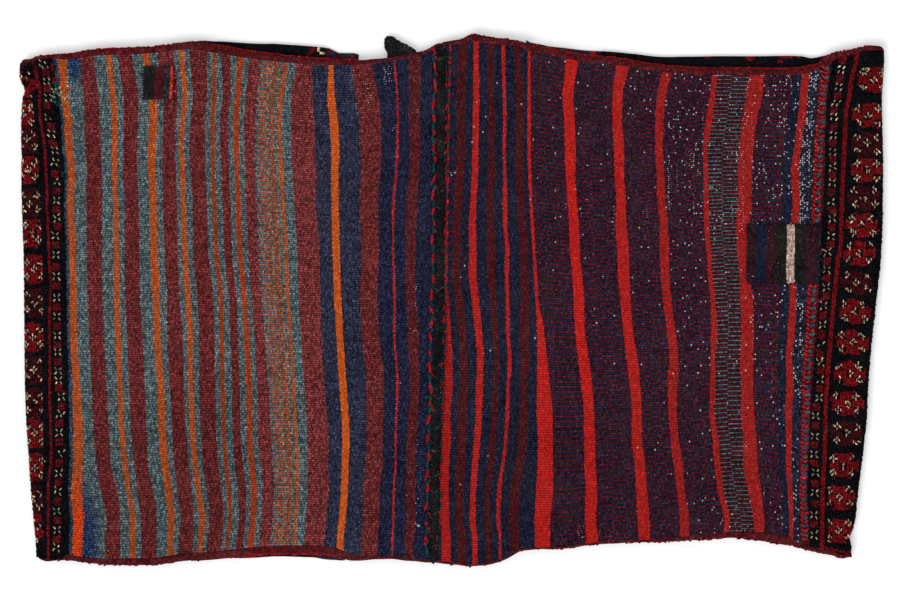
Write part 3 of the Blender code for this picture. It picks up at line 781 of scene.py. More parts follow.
def rightStripes(px, odd, furrow):
    look, names = rightCloth, list(rightOrder)
    places = rightNominal + rightGuides[guideRow][len(rightNominal):-1]
    at, morePlaces, moreNames = look["lastBand"]
    places[at:at], names[at:at] = morePlaces, moreNames
    stops = [(430, grey(0))] + [(place, grey((n + 1) % 2)) for n, place in enumerate(look["swaps"])]
    odd = abs(odd - ramp(px, 430, 830, stops)[0])
    onTop = odd * furrow.remap(*look["tealCrest"], 1.0, 0.0)
    odd = 1.0 - (1.0 - odd) * furrow.remap(*look["crest"], 1.0, 0.0)
    teal = names.index("tealDash")
    inTeal = (px > places[teal]) * (px < places[teal + 1])
    odd = odd + inTeal * (onTop - odd)
    first, second = [ramp(px, 430, 830, stripes(places, [swap.get(name, name) for name in names]))
                     for swap in look["picks"]]
    return blend(odd, first[0], second[0]), between(odd, first[1], second[1])


def leftExtras(colour, depth, px, place, stitch):
    look, heightAt = leftCloth, place.part("Y")
    isGrey = depth > 0.98
    share, paler = look["carded"]
    colour = blend(stitch.scatter((7.7, 2.3, 5.1)) * isGrey * share, colour, dye(*paler))
    drift = (place.noise(60, 2.0, 0.6) - 0.5) * 0.9
    for centreX, centreY, wide, high in look["blues"]:
        offX, offY = (px - centreX) / wide, (heightAt - float(toY(centreY))) / (high * pixel)
        far = offX * offX + offY * offY + drift
        blue = far.remap(0.45, 1.1, 1.0, 0.0) * isGrey
        colour = blend(blue * look["blueShare"], colour, dye(*look["blue"]))
    until, start, end, bright = look["lowOrange"]
    low = heightAt.remap(start, end) * (px < until) * (abs(depth - 0.5) < 0.05)
    return blend(low, colour, dye(*bright))


def bareWarp(cloth, px, place, stitch, floatAt, rib, furrow):
    # pale dots where the weft has worn off, never two side by side, more of them in the upper part
    likely = ramp(px, 430, 830, [(at, grey(share)) for at, share in fleckShares])[0]
    likely = likely * place.noise(40, 2.0, 0.6).remap(0.38, 0.66, 0.25, 1.9)
    likely = likely * place.part("Y").remap(-0.10, 0.30, 0.35, 1.15)
    likely = likely * ((floatAt.floor() + rib) % 2.0 * 1.7)
    bare = stitch.scatter((3.1, 9.4, 1.7)) < likely
    bright = stitch.scatter((3.1, 9.4, 1.7), "Color").part("Y")
    share = bare * (bright.remap(0, 1, 0.45, 1.0) * furrow.remap(0.45, 0.8, 1.0, 0.0))
    return blend(share, cloth, dye(*rightCloth["bare"]))


def kilimMaterial(name, half):
    material, tree = newMaterial(name, 0.92)
    place = objectPlace(tree)
    u, v = weavePlace(tree)
    ribAt = v / kilim["ribPitch"]
    rib = ribAt.floor()
    parity = rib % 2.0
    odd = parity > 0.5
    furrow = abs(ribAt.fract() * 2.0 - 1.0)
    # picks turn back a little sooner or later on each rib
    ragged = (vectorOf(u * 260.0, rib * 7.31).noise(1.0, 1.0) - 0.5) * 0.0034 + (odd - 0.5) * 0.0005
    if half > 0:  # less so where the cloth widens beside the fifth red stripe
        spread = abs(u / pixel - 528.0).remap(6.0, 12.0, 0.8, 0.0)
        ragged = ragged * (1.0 - spread * place.part("Y").remap(0.0, -0.09))
    px = (u + ragged) / pixel
    colour, depth = leftStripes(px, odd) if half < 0 else rightStripes(px, odd, furrow)
    # floats of weft lie brickwise on neighbouring ribs
    floatAt = place.part("X") / kilim["stitch"] + parity * 0.5
    stitch = vectorOf(floatAt.floor(), rib)
    if half < 0:
        colour = leftExtras(colour, depth, px, place, stitch)
    cloth = useGroup(tree, yarnTone, Colour=colour, Place=place, Stitch=stitch, Depth=depth)
    if half > 0:
        cloth = bareWarp(cloth, px, place, stitch, floatAt, rib, furrow)
    # painted shade in the furrows between ribs and between floats
    gap = abs(floatAt.fract() * 2.0 - 1.0) ** furrowShadeAndDust["gap"][0]
    deep = (furrow ** furrowShadeAndDust["furrow"][0] * furrowShadeAndDust["furrow"][1]).most(gap * furrowShadeAndDust["gap"][1])
    dark = (furrowShadeAndDust["unshaded"] - deep) * depth.remap(0.3, 1.0, 0.62, 1.0) + 1.0
    # each half is duller low down
    centre, wide, amount = (leftCloth if half < 0 else rightCloth)["dull"]
    dull = abs(px - centre).remap(wide, wide + 70, amount, 0.0) * place.part("Y").remap(-0.06, -0.20)
    shaded = cloth.scaled(dark * (1.0 - dull))
    aged = useGroup(tree, wornDust, Colour=shaded, Place=place, Amount=furrowShadeAndDust["dust"])
    height = (1.0 - gap) * 0.6 + place.noise(1900, 2.0, 0.7) * 0.5
    endMaterial(tree, aged, height, 0.6, 0.0004)
    return material


kilims = {}
for half, slot in ((-1, "striped_weave"), (1, "banded_weave")):
    side = sideNames[half]
    upper, lower, uv = kilimGrid(half)
    kilims[half] = closedSheet(side + "Kilim", upper, lower, kilimMaterial(side + "KilimWool", half), uv)
    finishPiece(kilims[half], side + "_bag_weave")
for made in kilims.values():
    corners = np.array([v.co[:] for v in made.data.vertices])
    size = corners.min(0).round(4), corners.max(0).round(4)
    print(made.name, len(made.data.polygons) * 2, "triangles", *size)


def yarnMaterial(name, colour, stitch, depth, fibre=1500, bump=0.5, relief=0.0004, dusty=0.06):
    # wool of one colour, or of the colour kept on each face where it is None
    material, tree = newMaterial(name, 0.93)
    place = objectPlace(tree)
    base = dye(*colour) if colour else Wire(
        tree, addNode(tree, "ShaderNodeVertexColor", layer_name="yarn").outputs["Color"])
    cell = place.scaled(1 / stitch).vector("FLOOR")
    toned = useGroup(tree, yarnTone, Colour=base, Place=place, Stitch=cell, Depth=depth)
    aged = useGroup(tree, wornDust, Colour=toned, Place=place, Amount=dusty)
    endMaterial(tree, aged, place.noise(fibre, 3.0, 0.7), bump, relief)
    return material


def stripedWool(name, stops, look):
    # plain weave whose stripes are kept in the shares of its width
    material, tree = newMaterial(name, look["rough"])
    place = objectPlace(tree)
    u, v = weavePlace(tree)
    rib = v.floor()
    spot = vectorOf(u * look["alongU"] + rib * look["alongRib"], rib * look["acrossRib"])
    colour = ramp(u + (spot.noise(1.0, 1.0) - 0.5) * look["ragged"], 0, 1, stops)[0]
    cell = vectorOf((place.part("X") / look["cell"]).floor(), rib)
    toned = useGroup(tree, yarnTone, Colour=colour, Place=place, Stitch=cell, Depth=look["depth"])
    furrow = abs(v.fract() * 2.0 - 1.0) ** 4.0
    shaded = toned.scaled(1.0 - furrow * look["furrow"])
    aged = useGroup(tree, wornDust, Colour=shaded, Place=place, Amount=look["dust"])
    endMaterial(tree, aged, place.noise(look["fibre"], 2.0, 0.7), look["bump"], 0.0005)
    return material


# the knotted pile: end strips, folds and fronts
pile = {
    "knot": 0.00347, "rows": 211, "height": 0.0029, "tip": 0.86,
    "strip": {-1: 0.078, 1: 0.092}, "base": {-1: 0.082, 1: 0.098},  # reach from the kilim's end
    "frontRows": 212, "rowStep": 2.36,  # pixels of the view between two rows of knots
    "baseColumn": 0.0024, "baseRows": 108, "baseUnder": 0.024, "baseThickness": 0.0019,
    "yarns": {
        "ink": (12, 12, 16), "red": (104, 13, 18), "dark": (54, 12, 17), "cream": (192, 168, 136),
        "teal": (18, 42, 44), "blue": (28, 40, 78), "rust": (140, 60, 30),
    },
    "rim": (40, 12, 16),
    # tufts: foot and tip as shares of a knot, for dark yarns and for the longer cream ones
    "foot": 0.98, "creamFoot": 0.5, "creamTip": (0.33, 1.24), "guardTip": 1.15, "tipSpread": (0.85, 1.12),
}
yarns = {name: np.array(dye(*rgb)) for name, rgb in pile["yarns"].items()}
# where the motifs of the two end strips lie, in pixels of the view
endBorder = {
    -1: {
        "main": [
            (28, 84, "red"), (25, 114, "red"), (29, 139, "dark"), (29, 170, "red"), (30, 203, "dark"),
            (33, 233, "red"), (35, 269, "red"), (35, 303, "dark"), (34.4, 337, "red"), (34.4, 370, "dark"),
            (36, 402, "dark"), (36, 433, "red"), (34.6, 467, "red"), (34, 499, "dark"), (38, 528, "red"),
        ],
        "halfWide": 5,
        "halfHigh": 6,
        "florets": [(0, 0), (-3, -3), (3, -3), (-3, 3), (3, 3)],
        "minor": [
            (55, 43), (64, 44.6), (97, 48), (116, 50), (134, 52.6), (156, 55.6), (190, 57), (350, 58),
            (396, 61), (453, 61.5), (472, 60), (490, 58), (560, 58),
        ],
        "crosses": [
            64, 81, 97, 116, 134, 151, 163, 182, 200, 218, 236, 255, 276, 297, 316, 335, 352, 370, 381, 396,
            414, 432, 453, 472, 490, 510, 529, 547,
        ],
        "squares": [
            73, 89, 106, 126, 143, 173, 190, 209, 226, 245, 266, 286, 307, 325, 344, 361, 388, 406, 423,
            442, 462, 481, 500, 520, 538,
        ],
        "guard": [
            (56, 27), (60, 31), (64, 34.4), (72, 37), (80, 38.8), (90, 40.6), (98, 40.2), (118, 41),
            (134, 44), (154, 46), (180, 47.4), (240, 49.4), (290, 51.4), (316, 50.2), (400, 51), (460, 52),
            (484, 49.4), (556, 49),
        ],
        "guardWide": 1.23,
        "guardAt": 0.0,
        "clear": 6.4,
        "blackBelow": 541,
    },
    1: {
        "main": [
            (873, 80, "red"), (869, 115.5, "red"), (867.5, 143.5, "dark"), (866, 170, "red"),
            (864, 198, "dark"), (862, 225, "red"), (859, 253, "red"), (857, 282, "dark"), (854, 311, "red"),
            (852, 342, "red"), (849, 373, "red"), (847, 403, "red"), (846, 433, "dark"), (843, 465, "red"),
            (840, 497, "red"), (839, 530, "red"),
        ],
        "halfWide": 6,
        "halfHigh": 5,
        "florets": [(0, 0), (-4, -3), (4, -3), (-4, 3), (4, 3)],
        "minor": [
            (50, 843.5), (70, 841.6), (100, 836), (150, 832.4), (180, 832.4), (220, 831), (270, 827),
            (305, 824.4), (344, 821.4), (380, 819), (416, 816.6), (472, 814.6), (545, 814.4),
        ],
        "crosses": [
            70, 87, 103, 117, 135, 151, 167, 183, 201, 218, 236, 252, 270, 287, 305, 325, 344, 362, 380,
            398, 415, 435, 453, 472, 492, 514, 534,
        ],
        "squares": [
            60.6, 78, 95, 110, 127, 143, 159, 175, 192, 210, 227, 244, 261, 278, 296, 315, 334.5, 353, 371,
            389, 406.5, 425, 444, 463, 483, 503, 524,
        ],
        "guard": [
            (54, 856.5), (62, 855.5), (70, 853.8), (77, 851.6), (84, 850.4), (95, 849.2), (109, 846.2),
            (135, 844.8), (181, 842.6), (245, 840.4), (261, 838), (305, 833.4), (330, 831), (370, 828),
            (400, 825.8), (450, 824.6), (490, 822.4), (546, 822),
        ],
        "guardWide": 2.46,
        "guardAt": 1.05,
        "clear": 5.0,
        "blackBelow": 547,
    },
}
# single places, as (x, y, half width, half height, dye, lean of the tufts in degrees)
endSpots = {
    -1: [
        (28.6, 70, 5.4, 9, "ink", 0), (23.5, 64, 3.5, 4, "dark", 0), (27, 60.5, 3.5, 1.8, "dark", 0),
        (23.6, 72.6, 1.3, 1.4, "cream", 38), (28.4, 72.4, 1.3, 1.4, "cream", 40),
        (26.4, 77.4, 1.3, 1.4, "cream", 36), (31.2, 79.4, 1.3, 1.4, "cream", 40),
        (34, 84.5, 6.5, 5.4, "red", 0), (31.5, 81.5, 1.5, 1.5, "ink", 0), (37.5, 82, 1.4, 1.4, "ink", 0),
        (26, 84, 3, 4, "ink", 0), (53.3, 66.3, 2.1, 3.4, "red", 0), (56, 79.5, 2.5, 3, "red", 0),
        (51, 85.3, 1.8, 1.7, "red", 0), (32, 97, 1.6, 1.5, "cream", 60), (25.4, 105, 1.6, 1.5, "cream", 60),
        (30.5, 108.5, 1.4, 1.5, "cream", 34), (32.8, 112, 1.5, 1.6, "cream", 34),
        (29, 128, 8, 3, "dark", 0), (40, 532, 7, 14, "ink", 0), (38.6, 519.5, 3.4, 2.8, "red", 0),
        (40.6, 524.5, 1.6, 1.5, "cream", 40), (38.4, 528, 1.6, 1.5, "cream", 0),
        (36, 526.8, 1.4, 1.4, "cream", 30), (41, 532.6, 3, 5.6, "red", 0),
        (36.9, 538.6, 1.5, 1.5, "cream", 30), (38.4, 541, 1.5, 1.4, "cream", -20),
        (34.6, 532, 1.8, 12, "red", 0), (41, 549, 6, 9, "ink", 0), (47, 560, 3.5, 2.4, "red", 0),
    ],
    1: [
        (870.5, 60, 11.5, 6, "ink", 0), (866, 71, 4.4, 3.6, "ink", 0),
        (864.5, 69.4, 1.5, 1.4, "cream", -50), (867.4, 68.6, 1.5, 1.4, "cream", 50),
        (868.2, 72, 1.5, 1.4, "cream", -40), (864.2, 73.4, 1.5, 1.4, "cream", 60),
        (866.2, 71, 1.3, 1.3, "red", 0),
    ],
}
endSpots[1] += [(822.5 + 4 * n, 547.2 + 0.85 * n, 2.6, 1.6, "red", 0) for n in range(8)]
frontSpots = {
    -1: [
        (319, 51, 1.6, 1.8, "cream", 0), (325, 49.6, 2, 1.4, "cream", 0),
        (321.5, 54.6, 2.2, 1.4, "cream", 0), (313.4, 50.5, 1.5, 1.8, "red", 0),
        (311, 53, 1.5, 1.8, "red", 0), (308.6, 55.6, 1.5, 1.8, "red", 0), (338, 55, 4, 3, "blue", 0),
        (351.5, 53.5, 7, 3.4, "dark", 0),
    ],
    1: [
        (708.7, 58.4, 2.2, 2, "red", 0), (724, 57, 4, 1.3, "red", 0), (752, 59.4, 4.8, 2.3, "red", 0),
        (786, 58, 7, 1.7, "red", 0), (781, 63.5, 2.2, 1.6, "red", 0), (733, 57, 1.4, 1.3, "cream", 0),
        (747, 57, 1.3, 1.3, "cream", 0), (761, 57, 1.3, 1.3, "cream", 0), (577, 52, 18, 2.6, "blue", 0),
        (799, 58, 2.4, 1.3, "red", 0),
    ],
}
topRow = 70  # the guides' first row, where the pile reaches further in
boundaryPx = {}
for half, guides, at, up, out in ((-1, leftGuides, 0, 18, 0), (1, rightGuides, -1, 22, 2.0)):
    boundaryPx[half] = smoothLine([(row - up * (row == topRow), line[at] + out * (row == topRow))
                                   for row, line in sorted(guides.items())])


def frontEdges(x):
    return edgeY(-1, x) - bulge(-1, x), edgeY(1, x) + bulge(1, x)


def pileSurface(half, s, share):
    # a point at s metres outward from the end of the kilim, over the fold and under
    s, share = np.broadcast_arrays(np.asarray(s, float), np.asarray(share, float))
    y = (share - 0.5) * 0.7
    for _ in range(6):
        start = toX(boundaryPx[half](toPy(y)))
        centre = foldCentre(half, y)
        flat = abs(centre - start)
        angle = np.clip((s - flat) / foldRadius, 0, np.pi)
        beyond = np.maximum(0, s - flat - np.pi * foldRadius)
        x = np.where(s < flat, start + half * s, centre + half * (foldRadius * np.sin(angle) - beyond))
        at = np.minimum(abs(x) + 0.0015, bag["length"] / 2) * half
        over = 1 - np.clip(angle / 1.3, 0, 1)  # on the fold the pile covers the turned selvedge
        low = edgeY(-1, at) + (0.9 * bindingWidth(-1, at)) * over
        high = edgeY(1, at) - (0.9 * bindingWidth(1, at)) * (0.35 + 0.65 * over)
        outLow, outHigh = frontEdges(x)
        opened = np.clip(beyond / 0.008, 0, 1)
        low = low + (outLow - low) * opened
        high = high + (outHigh - high) * opened
        y = low + (high - low) * share
    z = np.where(s < flat, puckeredTop(x, y), foldRadius * (1 + np.cos(angle)))
    points = np.stack([x, y, z], -1)
    normals = np.stack([half * np.sin(angle), 0 * x, np.cos(angle)], -1)
    return points, normals, s < flat + np.pi * foldRadius + 0.0005, start


def nearest(values, at):
    # which value is nearest, and how far off it lies
    values = np.array(values, float)
    k = np.argmin(abs(at[..., None] - values), -1)
    return k, at - values[k]


def dyed(colour, mask, name):
    colour[mask] = yarns[name]


def inked(shape):
    return np.zeros(shape + (4,)) + yarns["ink"]


def spotted(colour, spots, px, py):
    for x, y, wide, high, name, lean in spots:
        here = (abs(px - x) / wide) ** 2 + (abs(py - y) / high) ** 2 < 1
        dyed(colour, here, name)
        colour[here, 3] = 1 + lean / 100
    return colour


def endChart(half, px, py):
    # colours of the end strip's knots: guard line, minor border, main border
    plan, colour = endBorder[half], inked(px.shape)
    step, rise = pile["knot"] / pixel, pile["rowStep"]
    guardAt = smoothLine(plan["guard"])(py)
    dyed(colour, abs(px - guardAt) < plan["guardWide"], "red")
    dx = np.round((px - smoothLine(plan["minor"])(py)) / step)
    dy = np.round(nearest(plan["crosses"], py)[1] / rise)
    arms = (abs(dx) == 1) & (abs(dy) == 1) & (dice.random(px.shape) < 0.97)
    dyed(colour, arms, "cream")
    lean = np.where(py < 160, -half, np.sign(dx * dy))  # the arms of a small cross point at its middle
    colour[arms, 3] = (1 + 0.4 * lean)[arms]
    colour[arms, :3] *= 0.8
    dy = np.round(nearest(plan["squares"], py)[1] / rise)
    near = (abs(dx) <= 1) & (abs(dy) <= 1)
    dyed(colour, near & ((abs(dx) == 1) | (abs(dy) == 1)), "red")
    colour[near, :3] *= 0.8
    dyed(colour, near & (dx == 0) & (dy == 0), "teal")
    mains = plan["main"]
    k, away = nearest([m[1] for m in mains], py)
    red = np.array([m[2] == "red" for m in mains])[k]
    dx = np.round((px - np.array([m[0] for m in mains])[k]) / step)
    dy = np.round(away / rise)
    wide, high = plan["halfWide"], plan["halfHigh"]
    outward = half * (px - guardAt) > plan["clear"]
    octagon = (abs(dx) <= wide) & (abs(dy) <= high) & (abs(dx) + abs(dy) <= wide + high - 3) & outward
    octagon &= abs(away) < (high + 0.4) * 2.25
    dyed(colour, octagon & red, "red")
    dyed(colour, octagon & ~red, "dark")
    for fx, fy in plan["florets"]:
        ex, ey = dx - fx, dy - fy
        spot = octagon & (abs(ex) <= 1) & (abs(ey) <= 1)
        dyed(colour, spot, "ink")
        dyed(colour, spot & (abs(ex) + abs(ey) == 1) & (dice.random(px.shape) < 0.86), "cream")
        dyed(colour, spot & (ex == 0) & (ey == 0), "red")
    dyed(colour, (py > plan["blackBelow"]) & outward, "ink")
    return spotted(colour, endSpots[half], px, py)


def turned(x, y, angle):
    return x * np.cos(angle) - y * np.sin(angle), x * np.sin(angle) + y * np.cos(angle)


def tufts(name, half, material):
    # every knot of the strip as a tuft of its own, foot in the cloth and tip leaning
    knot, plan = pile["knot"], endBorder[half]
    s = (np.arange(int(pile["strip"][half] / knot) + 9) + 0.5) * knot
    share = (np.arange(pile["rows"]) + 0.5) / pile["rows"]
    s, share = np.meshgrid(s, share, indexing="ij")
    points, normals, inside, start = pileSurface(half, s, share)
    px, py = toPx(start) + half * s / pixel, toPy(points[..., 1])
    colour = endChart(half, px, py)
    # the guard line's knots lie true to it, one or two abreast
    off = px - smoothLine(plan["guard"])(py)
    keep = inside.ravel()
    guard = (abs(off) < plan["guardWide"]).ravel()
    slip = ((np.sign(off) * plan["guardAt"] - off).ravel() * pixel * guard)[keep]
    guard = guard[keep]
    points, normals, colour = [a.reshape(len(keep), -1)[keep] for a in (points, normals, colour)]
    count = len(points)
    along = np.stack([normals[:, 2], 0 * normals[:, 0], -normals[:, 0]], 1)  # across the fold
    points = points + slip[:, None] * along
    lift = dice.normal(-0.0001, 0.00030, count)
    lean = dice.normal(0, 0.0003, count), dice.normal(-0.0005, 0.0003, count)
    pale = colour[:, 1] > 0.2
    said = (colour[:, 3] - 1) * 100  # the lean that the chart asks for
    swing, sway, little = dice.normal(0, 40, count), dice.normal(0, 9, count), dice.normal(0, 9, count)
    turn = np.radians(np.where(pale, np.where(said == 0, swing, said + sway), little))
    tipX = np.where(pale, pile["creamTip"][0], np.where(guard & (half < 0), pile["guardTip"], pile["tip"]))
    tipX = tipX * dice.uniform(*pile["tipSpread"], count)
    tipY = np.where(pale, pile["creamTip"][1], pile["tip"]) * dice.uniform(*pile["tipSpread"], count)
    lift = np.where(pale, lift + 0.0004, lift)
    foot = np.where(pale, pile["creamFoot"], pile["foot"])
    rings = []
    for depth, leaning in ((pile["height"], 0.0), (pile["height"] * 0.42, 0.5), (0.0, 1.0)):
        wide = knot * (foot + (tipX - foot) * leaning ** 2)
        high = 0.74 / pile["rows"] * (pile["foot"] + (tipY - pile["foot"]) * leaning ** 2)
        for a, b in ((-1, -1), (1, -1), (1, 1), (-1, 1)):
            across, up = turned(a * wide / 2, b * high / 2, turn * leaning)
            moved = (across + lean[0] * leaning)[:, None] * along
            moved = moved + (up + lean[1] * leaning)[:, None] * np.array((0, 1, 0))
            rings.append(points + moved + (lift * leaning - depth)[:, None] * normals)
    faces = [[k, k // 4 * 4 + (k + 1) % 4, k // 4 * 4 + (k + 1) % 4 + 4, k + 4] for k in range(8)]
    faces = np.array(faces + [[8, 9, 10, 11], [3, 2, 1, 0]])
    # along × y points along the normal on the right half and against it on the left
    if np.cross(along[0], (0, 1, 0)) @ normals[0] < 0:
        faces = faces[:, ::-1]
    allFaces = (faces[None] + 12 * np.arange(count)[:, None, None]).reshape(-1, 4)
    made = newPiece(name, np.stack(rings, 1).reshape(-1, 3), allFaces, material, smooth=False)
    # each tuft a random tone, partly the yarn's own and partly painted shade among the tufts; the sides
    # painted darker, the lower half most, as painted shade deep in the pile
    shade = np.ones((count, len(faces), 1))
    tone, paleTone = dice.normal(-0.1, 0.3, (count, 1, 1)), dice.normal(-0.25, 0.35, count)
    shade *= 2.0 ** (tone + np.where(pale, paleTone, 0)[:, None, None])
    shade[:, :4] *= 0.5
    shade[:, 4:8] *= 0.8
    colours = np.repeat(colour[:, None], len(faces), 1) * shade
    colours[..., 3] = 1
    paintCorners(made, colours.reshape(-1, 4))
    return made


def pileBase(name, half, material):
    # the cloth under the tufts
    s = np.arange(-0.003, pile["base"][half] + pile["baseUnder"], pile["baseColumn"])
    share, s = np.meshgrid(np.linspace(0, 1, pile["baseRows"]), s, indexing="ij")
    points, normals = pileSurface(half, s, share)[:2]
    outer = points - normals * np.where(s < 0.002, 0.0030, pile["height"] - 0.0003)[..., None]
    inner = outer - normals * pile["baseThickness"]
    if half < 0:
        outer, inner = outer[:, ::-1], inner[:, ::-1]
    return closedSheet(name, outer, inner, material)


def frontGrid(half, columns, rows, begin, end):
    # x shares run from the fold to the mouth line, y shares between the front's long edges
    share, along = np.linspace(0, 1, rows + 1), np.linspace(begin, end, columns + 1)
    share, along = np.meshgrid(share, along, indexing="ij")
    y = (share - 0.5) * 0.7
    for _ in range(5):
        centre, mouth = foldCentre(half, y), mouthX(half, y)
        x = centre + (mouth - centre) * along
        low, high = frontEdges(x)
        y = low + (high - low) * share
    return x, y, share, along


def frontChart(fromFold, fromMouth, fromSide, across, down):
    # colours of the front's knots, by how many knots they lie from its sides
    colour = inked(fromFold.shape)
    side = np.minimum(fromSide, fromMouth)
    run = np.where(fromSide <= fromMouth, across, down)
    clear = fromFold > 8
    # field: rows of stepped diamonds in turn
    inField = (side > 26) & clear
    fx, fy = across % 18 - 9, down % 18 - 9
    ring = abs(fx) + abs(fy)
    turn = (across // 18 + down // 18) % 3
    for name, mask in (("red", ring <= 7), ("blue", (ring <= 7) & (turn == 1)),
                       ("dark", (ring <= 7) & (turn == 2)), ("ink", ring <= 4), ("cream", ring <= 2),
                       ("red", ring == 0), ("rust", (abs(fx) == 8) & (abs(fy) <= 1))):
        dyed(colour, inField & mask, name)
    # main border with its octagons, a guard line each side, the minor border outside it
    bx, by = side - 18, run % 12 - 6
    octagon = (abs(bx) <= 6) & (abs(by) <= 4) & (abs(bx) + abs(by) <= 8) & clear
    dyed(colour, octagon, "red")
    dyed(colour, octagon & ((run // 12) % 3 == 2), "dark")
    for ox, oy in ((0, 0), (-3, -2), (3, -2), (-3, 2), (3, 2)):
        dyed(colour, octagon & (abs(bx - ox) + abs(by - oy) == 1), "cream")
    dyed(colour, ((side == 10) | (side == 25)) & clear, "red")
    dyed(colour, (fromFold == 7) & (side > 10), "red")
    step, cross = run % 7 - 3, (run // 7) % 2 == 0
    minor = (side >= 3) & (side <= 7) & (abs(side - 5) <= 1) & (abs(step) <= 1)
    dyed(colour, minor & cross & (abs(side - 5) == 1) & (abs(step) == 1), "cream")
    dyed(colour, minor & ~cross & ((side != 5) | (step != 0)), "red")
    dyed(colour, (side == 0) & (run % 9 < 2), "red")
    return colour


def bandShare(half):
    # the mouth band's part of the front, measured from the fold's middle to the mouth
    return bag["bandDepth"][half] / (bag["mouthReach"][half] - foldRadius)


def frontPiece(name, half, material):
    end = 1 - bandShare(half)
    columns, rows = int((bag["mouthReach"][half] - foldRadius) * end / pile["knot"]), pile["frontRows"]
    x, y, share, along = frontGrid(half, columns, rows, 0.0, end)
    jitter = dice.uniform(0, 0.0006, x.shape)
    rim = np.minimum(share, 1 - share) * rows
    outerZ = 0.0001 + jitter + np.interp(rim, [0, 1, 2], [0.0017, 0.0004, 0])
    innerZ = bag["pileThickness"] - dice.uniform(0, 0.0005, x.shape)
    innerZ = innerZ - np.interp(rim, [0, 1, 2], [0.0016, 0.0004, 0])
    outer, inner = np.stack([x, y, innerZ], -1), np.stack([x, y, outerZ], -1)
    way = -1 if half > 0 else 1
    made = closedSheet(name, outer[:, ::way], inner[:, ::way], material)
    i, j = np.meshgrid(np.arange(rows), np.arange(columns), indexing="ij")
    colour = frontChart(j, columns - 1 - j, np.minimum(i, rows - 1 - i), j, i)
    # what shows past the back's edge, seen from above
    middleX, middleY = toPx(x[:-1, :-1] / 1.0042), toPy(y[:-1, :-1] / 1.0042)
    dyed(colour, middleY < np.where(middleX > 560, 70, 66), "ink")
    colour = spotted(colour, frontSpots[half], middleX, middleY)
    cells = colour[:, ::way].reshape(-1, 4)
    edgeCount = len(made.data.polygons) - 2 * len(cells)
    table = np.concatenate([cells, cells, np.repeat(np.array(dye(*pile["rim"]))[None], edgeCount, 0)])
    table = table * dice.uniform(0.7, 1.3, (len(table), 1))
    table[:, 3] = 1
    paintCorners(made, table)
    return made


# flat woven bands at the mouths
bands = {
    "stripes": {  # from the mouth inward, share of the depth and dye
        -1: [(0.0, "navy"), (0.14, "maroon"), (0.24, "navy"), (0.5, "dimRed"), (0.62, "navy"),
             (0.8, "dimRed"), (0.88, "navy")],
        1: [(0.0, "navy"), (0.1, "scarlet"), (0.16, "navy"), (0.34, "maroon"), (0.44, "slate"),
            (0.5, "maroon"), (0.6, "navy"), (0.84, "scarlet"), (0.9, "navy")],
    },
    "column": 0.006, "rows": 442, "groove": 0.0005, "sway": 0.0004, "under": 0.004,
    "look": {"rough": 0.93, "cell": 0.0016, "alongU": 30.0, "alongRib": 0.0, "acrossRib": 7.3,
             "ragged": 0.03, "depth": 0.7, "furrow": 0.0, "dust": 0.0, "fibre": 900, "bump": 0.5},
}


def bandPiece(name, half):
    begin = 1 - bandShare(half) - bands["under"]
    columns, rows = int(bag["bandDepth"][half] / bands["column"]), bands["rows"]
    x, y, share, along = frontGrid(half, columns, rows, begin, 1.0)
    groove = np.where(np.arange(rows + 1) % 2 == 0, bands["groove"], 0.0)[:, None]
    sway = bands["sway"] * np.sin(40 * y + 20 * x)
    rim = np.interp(np.minimum(share, 1 - share) * rows, [0, 2], [0.0007, 0])
    low = 0.0008 + groove + sway + rim
    high = bag["bandThickness"] - 0.0001 - groove + sway * 0.5 - rim
    uv = np.stack([(1 - along) / (1 - begin), share * rows / 2], -1)
    way = -1 if half > 0 else 1
    outer, inner = np.stack([x, y, high], -1)[:, ::way], np.stack([x, y, low], -1)[:, ::way]
    stops = [(at, dye(*woolDyes[wool])) for at, wool in bands["stripes"][half]]
    return closedSheet(name, outer, inner, stripedWool(name + "Wool", stops, bands["look"]), uv[:, ::way])


pileWool = yarnMaterial("pileWool", None, 0.0012, 0.8, 1300, 0.8, 0.0006, 0.015)
groundWool = yarnMaterial("pileGroundWool", (16, 13, 16), 0.003, 0.6)
for half, slot in ((-1, "striped_weave"), (1, "banded_weave")):
    side = sideNames[half]
    node = side + "_bag_weave"
    strip = finishPiece(tufts(side + "EndPile", half, pileWool), node)
    base = finishPiece(pileBase(side + "PileBase", half, groundWool), node)
    front = finishPiece(frontPiece(side + "FrontPile", half, pileWool), node)
    mouth = finishPiece(bandPiece(side + "MouthBand", half), node)
print("pile, fronts and mouth bands ready")

# wrapped selvedges of the back and corded edgings of the fronts
binding = {"wrap": 0.0026, "groove": 0.12, "sides": 12, "jitter": 0.03, "colour": (76, 20, 25),
           "bendReach": 0.0068, "bendDrop": 0.0066, "overlap": 0.0003}
edging = {"wrap": 0.0042, "groove": 0.16, "sides": 8, "jitter": 0.06, "colour": (124, 19, 22),
          "past": 0.006}
pointsPerWrap = 4


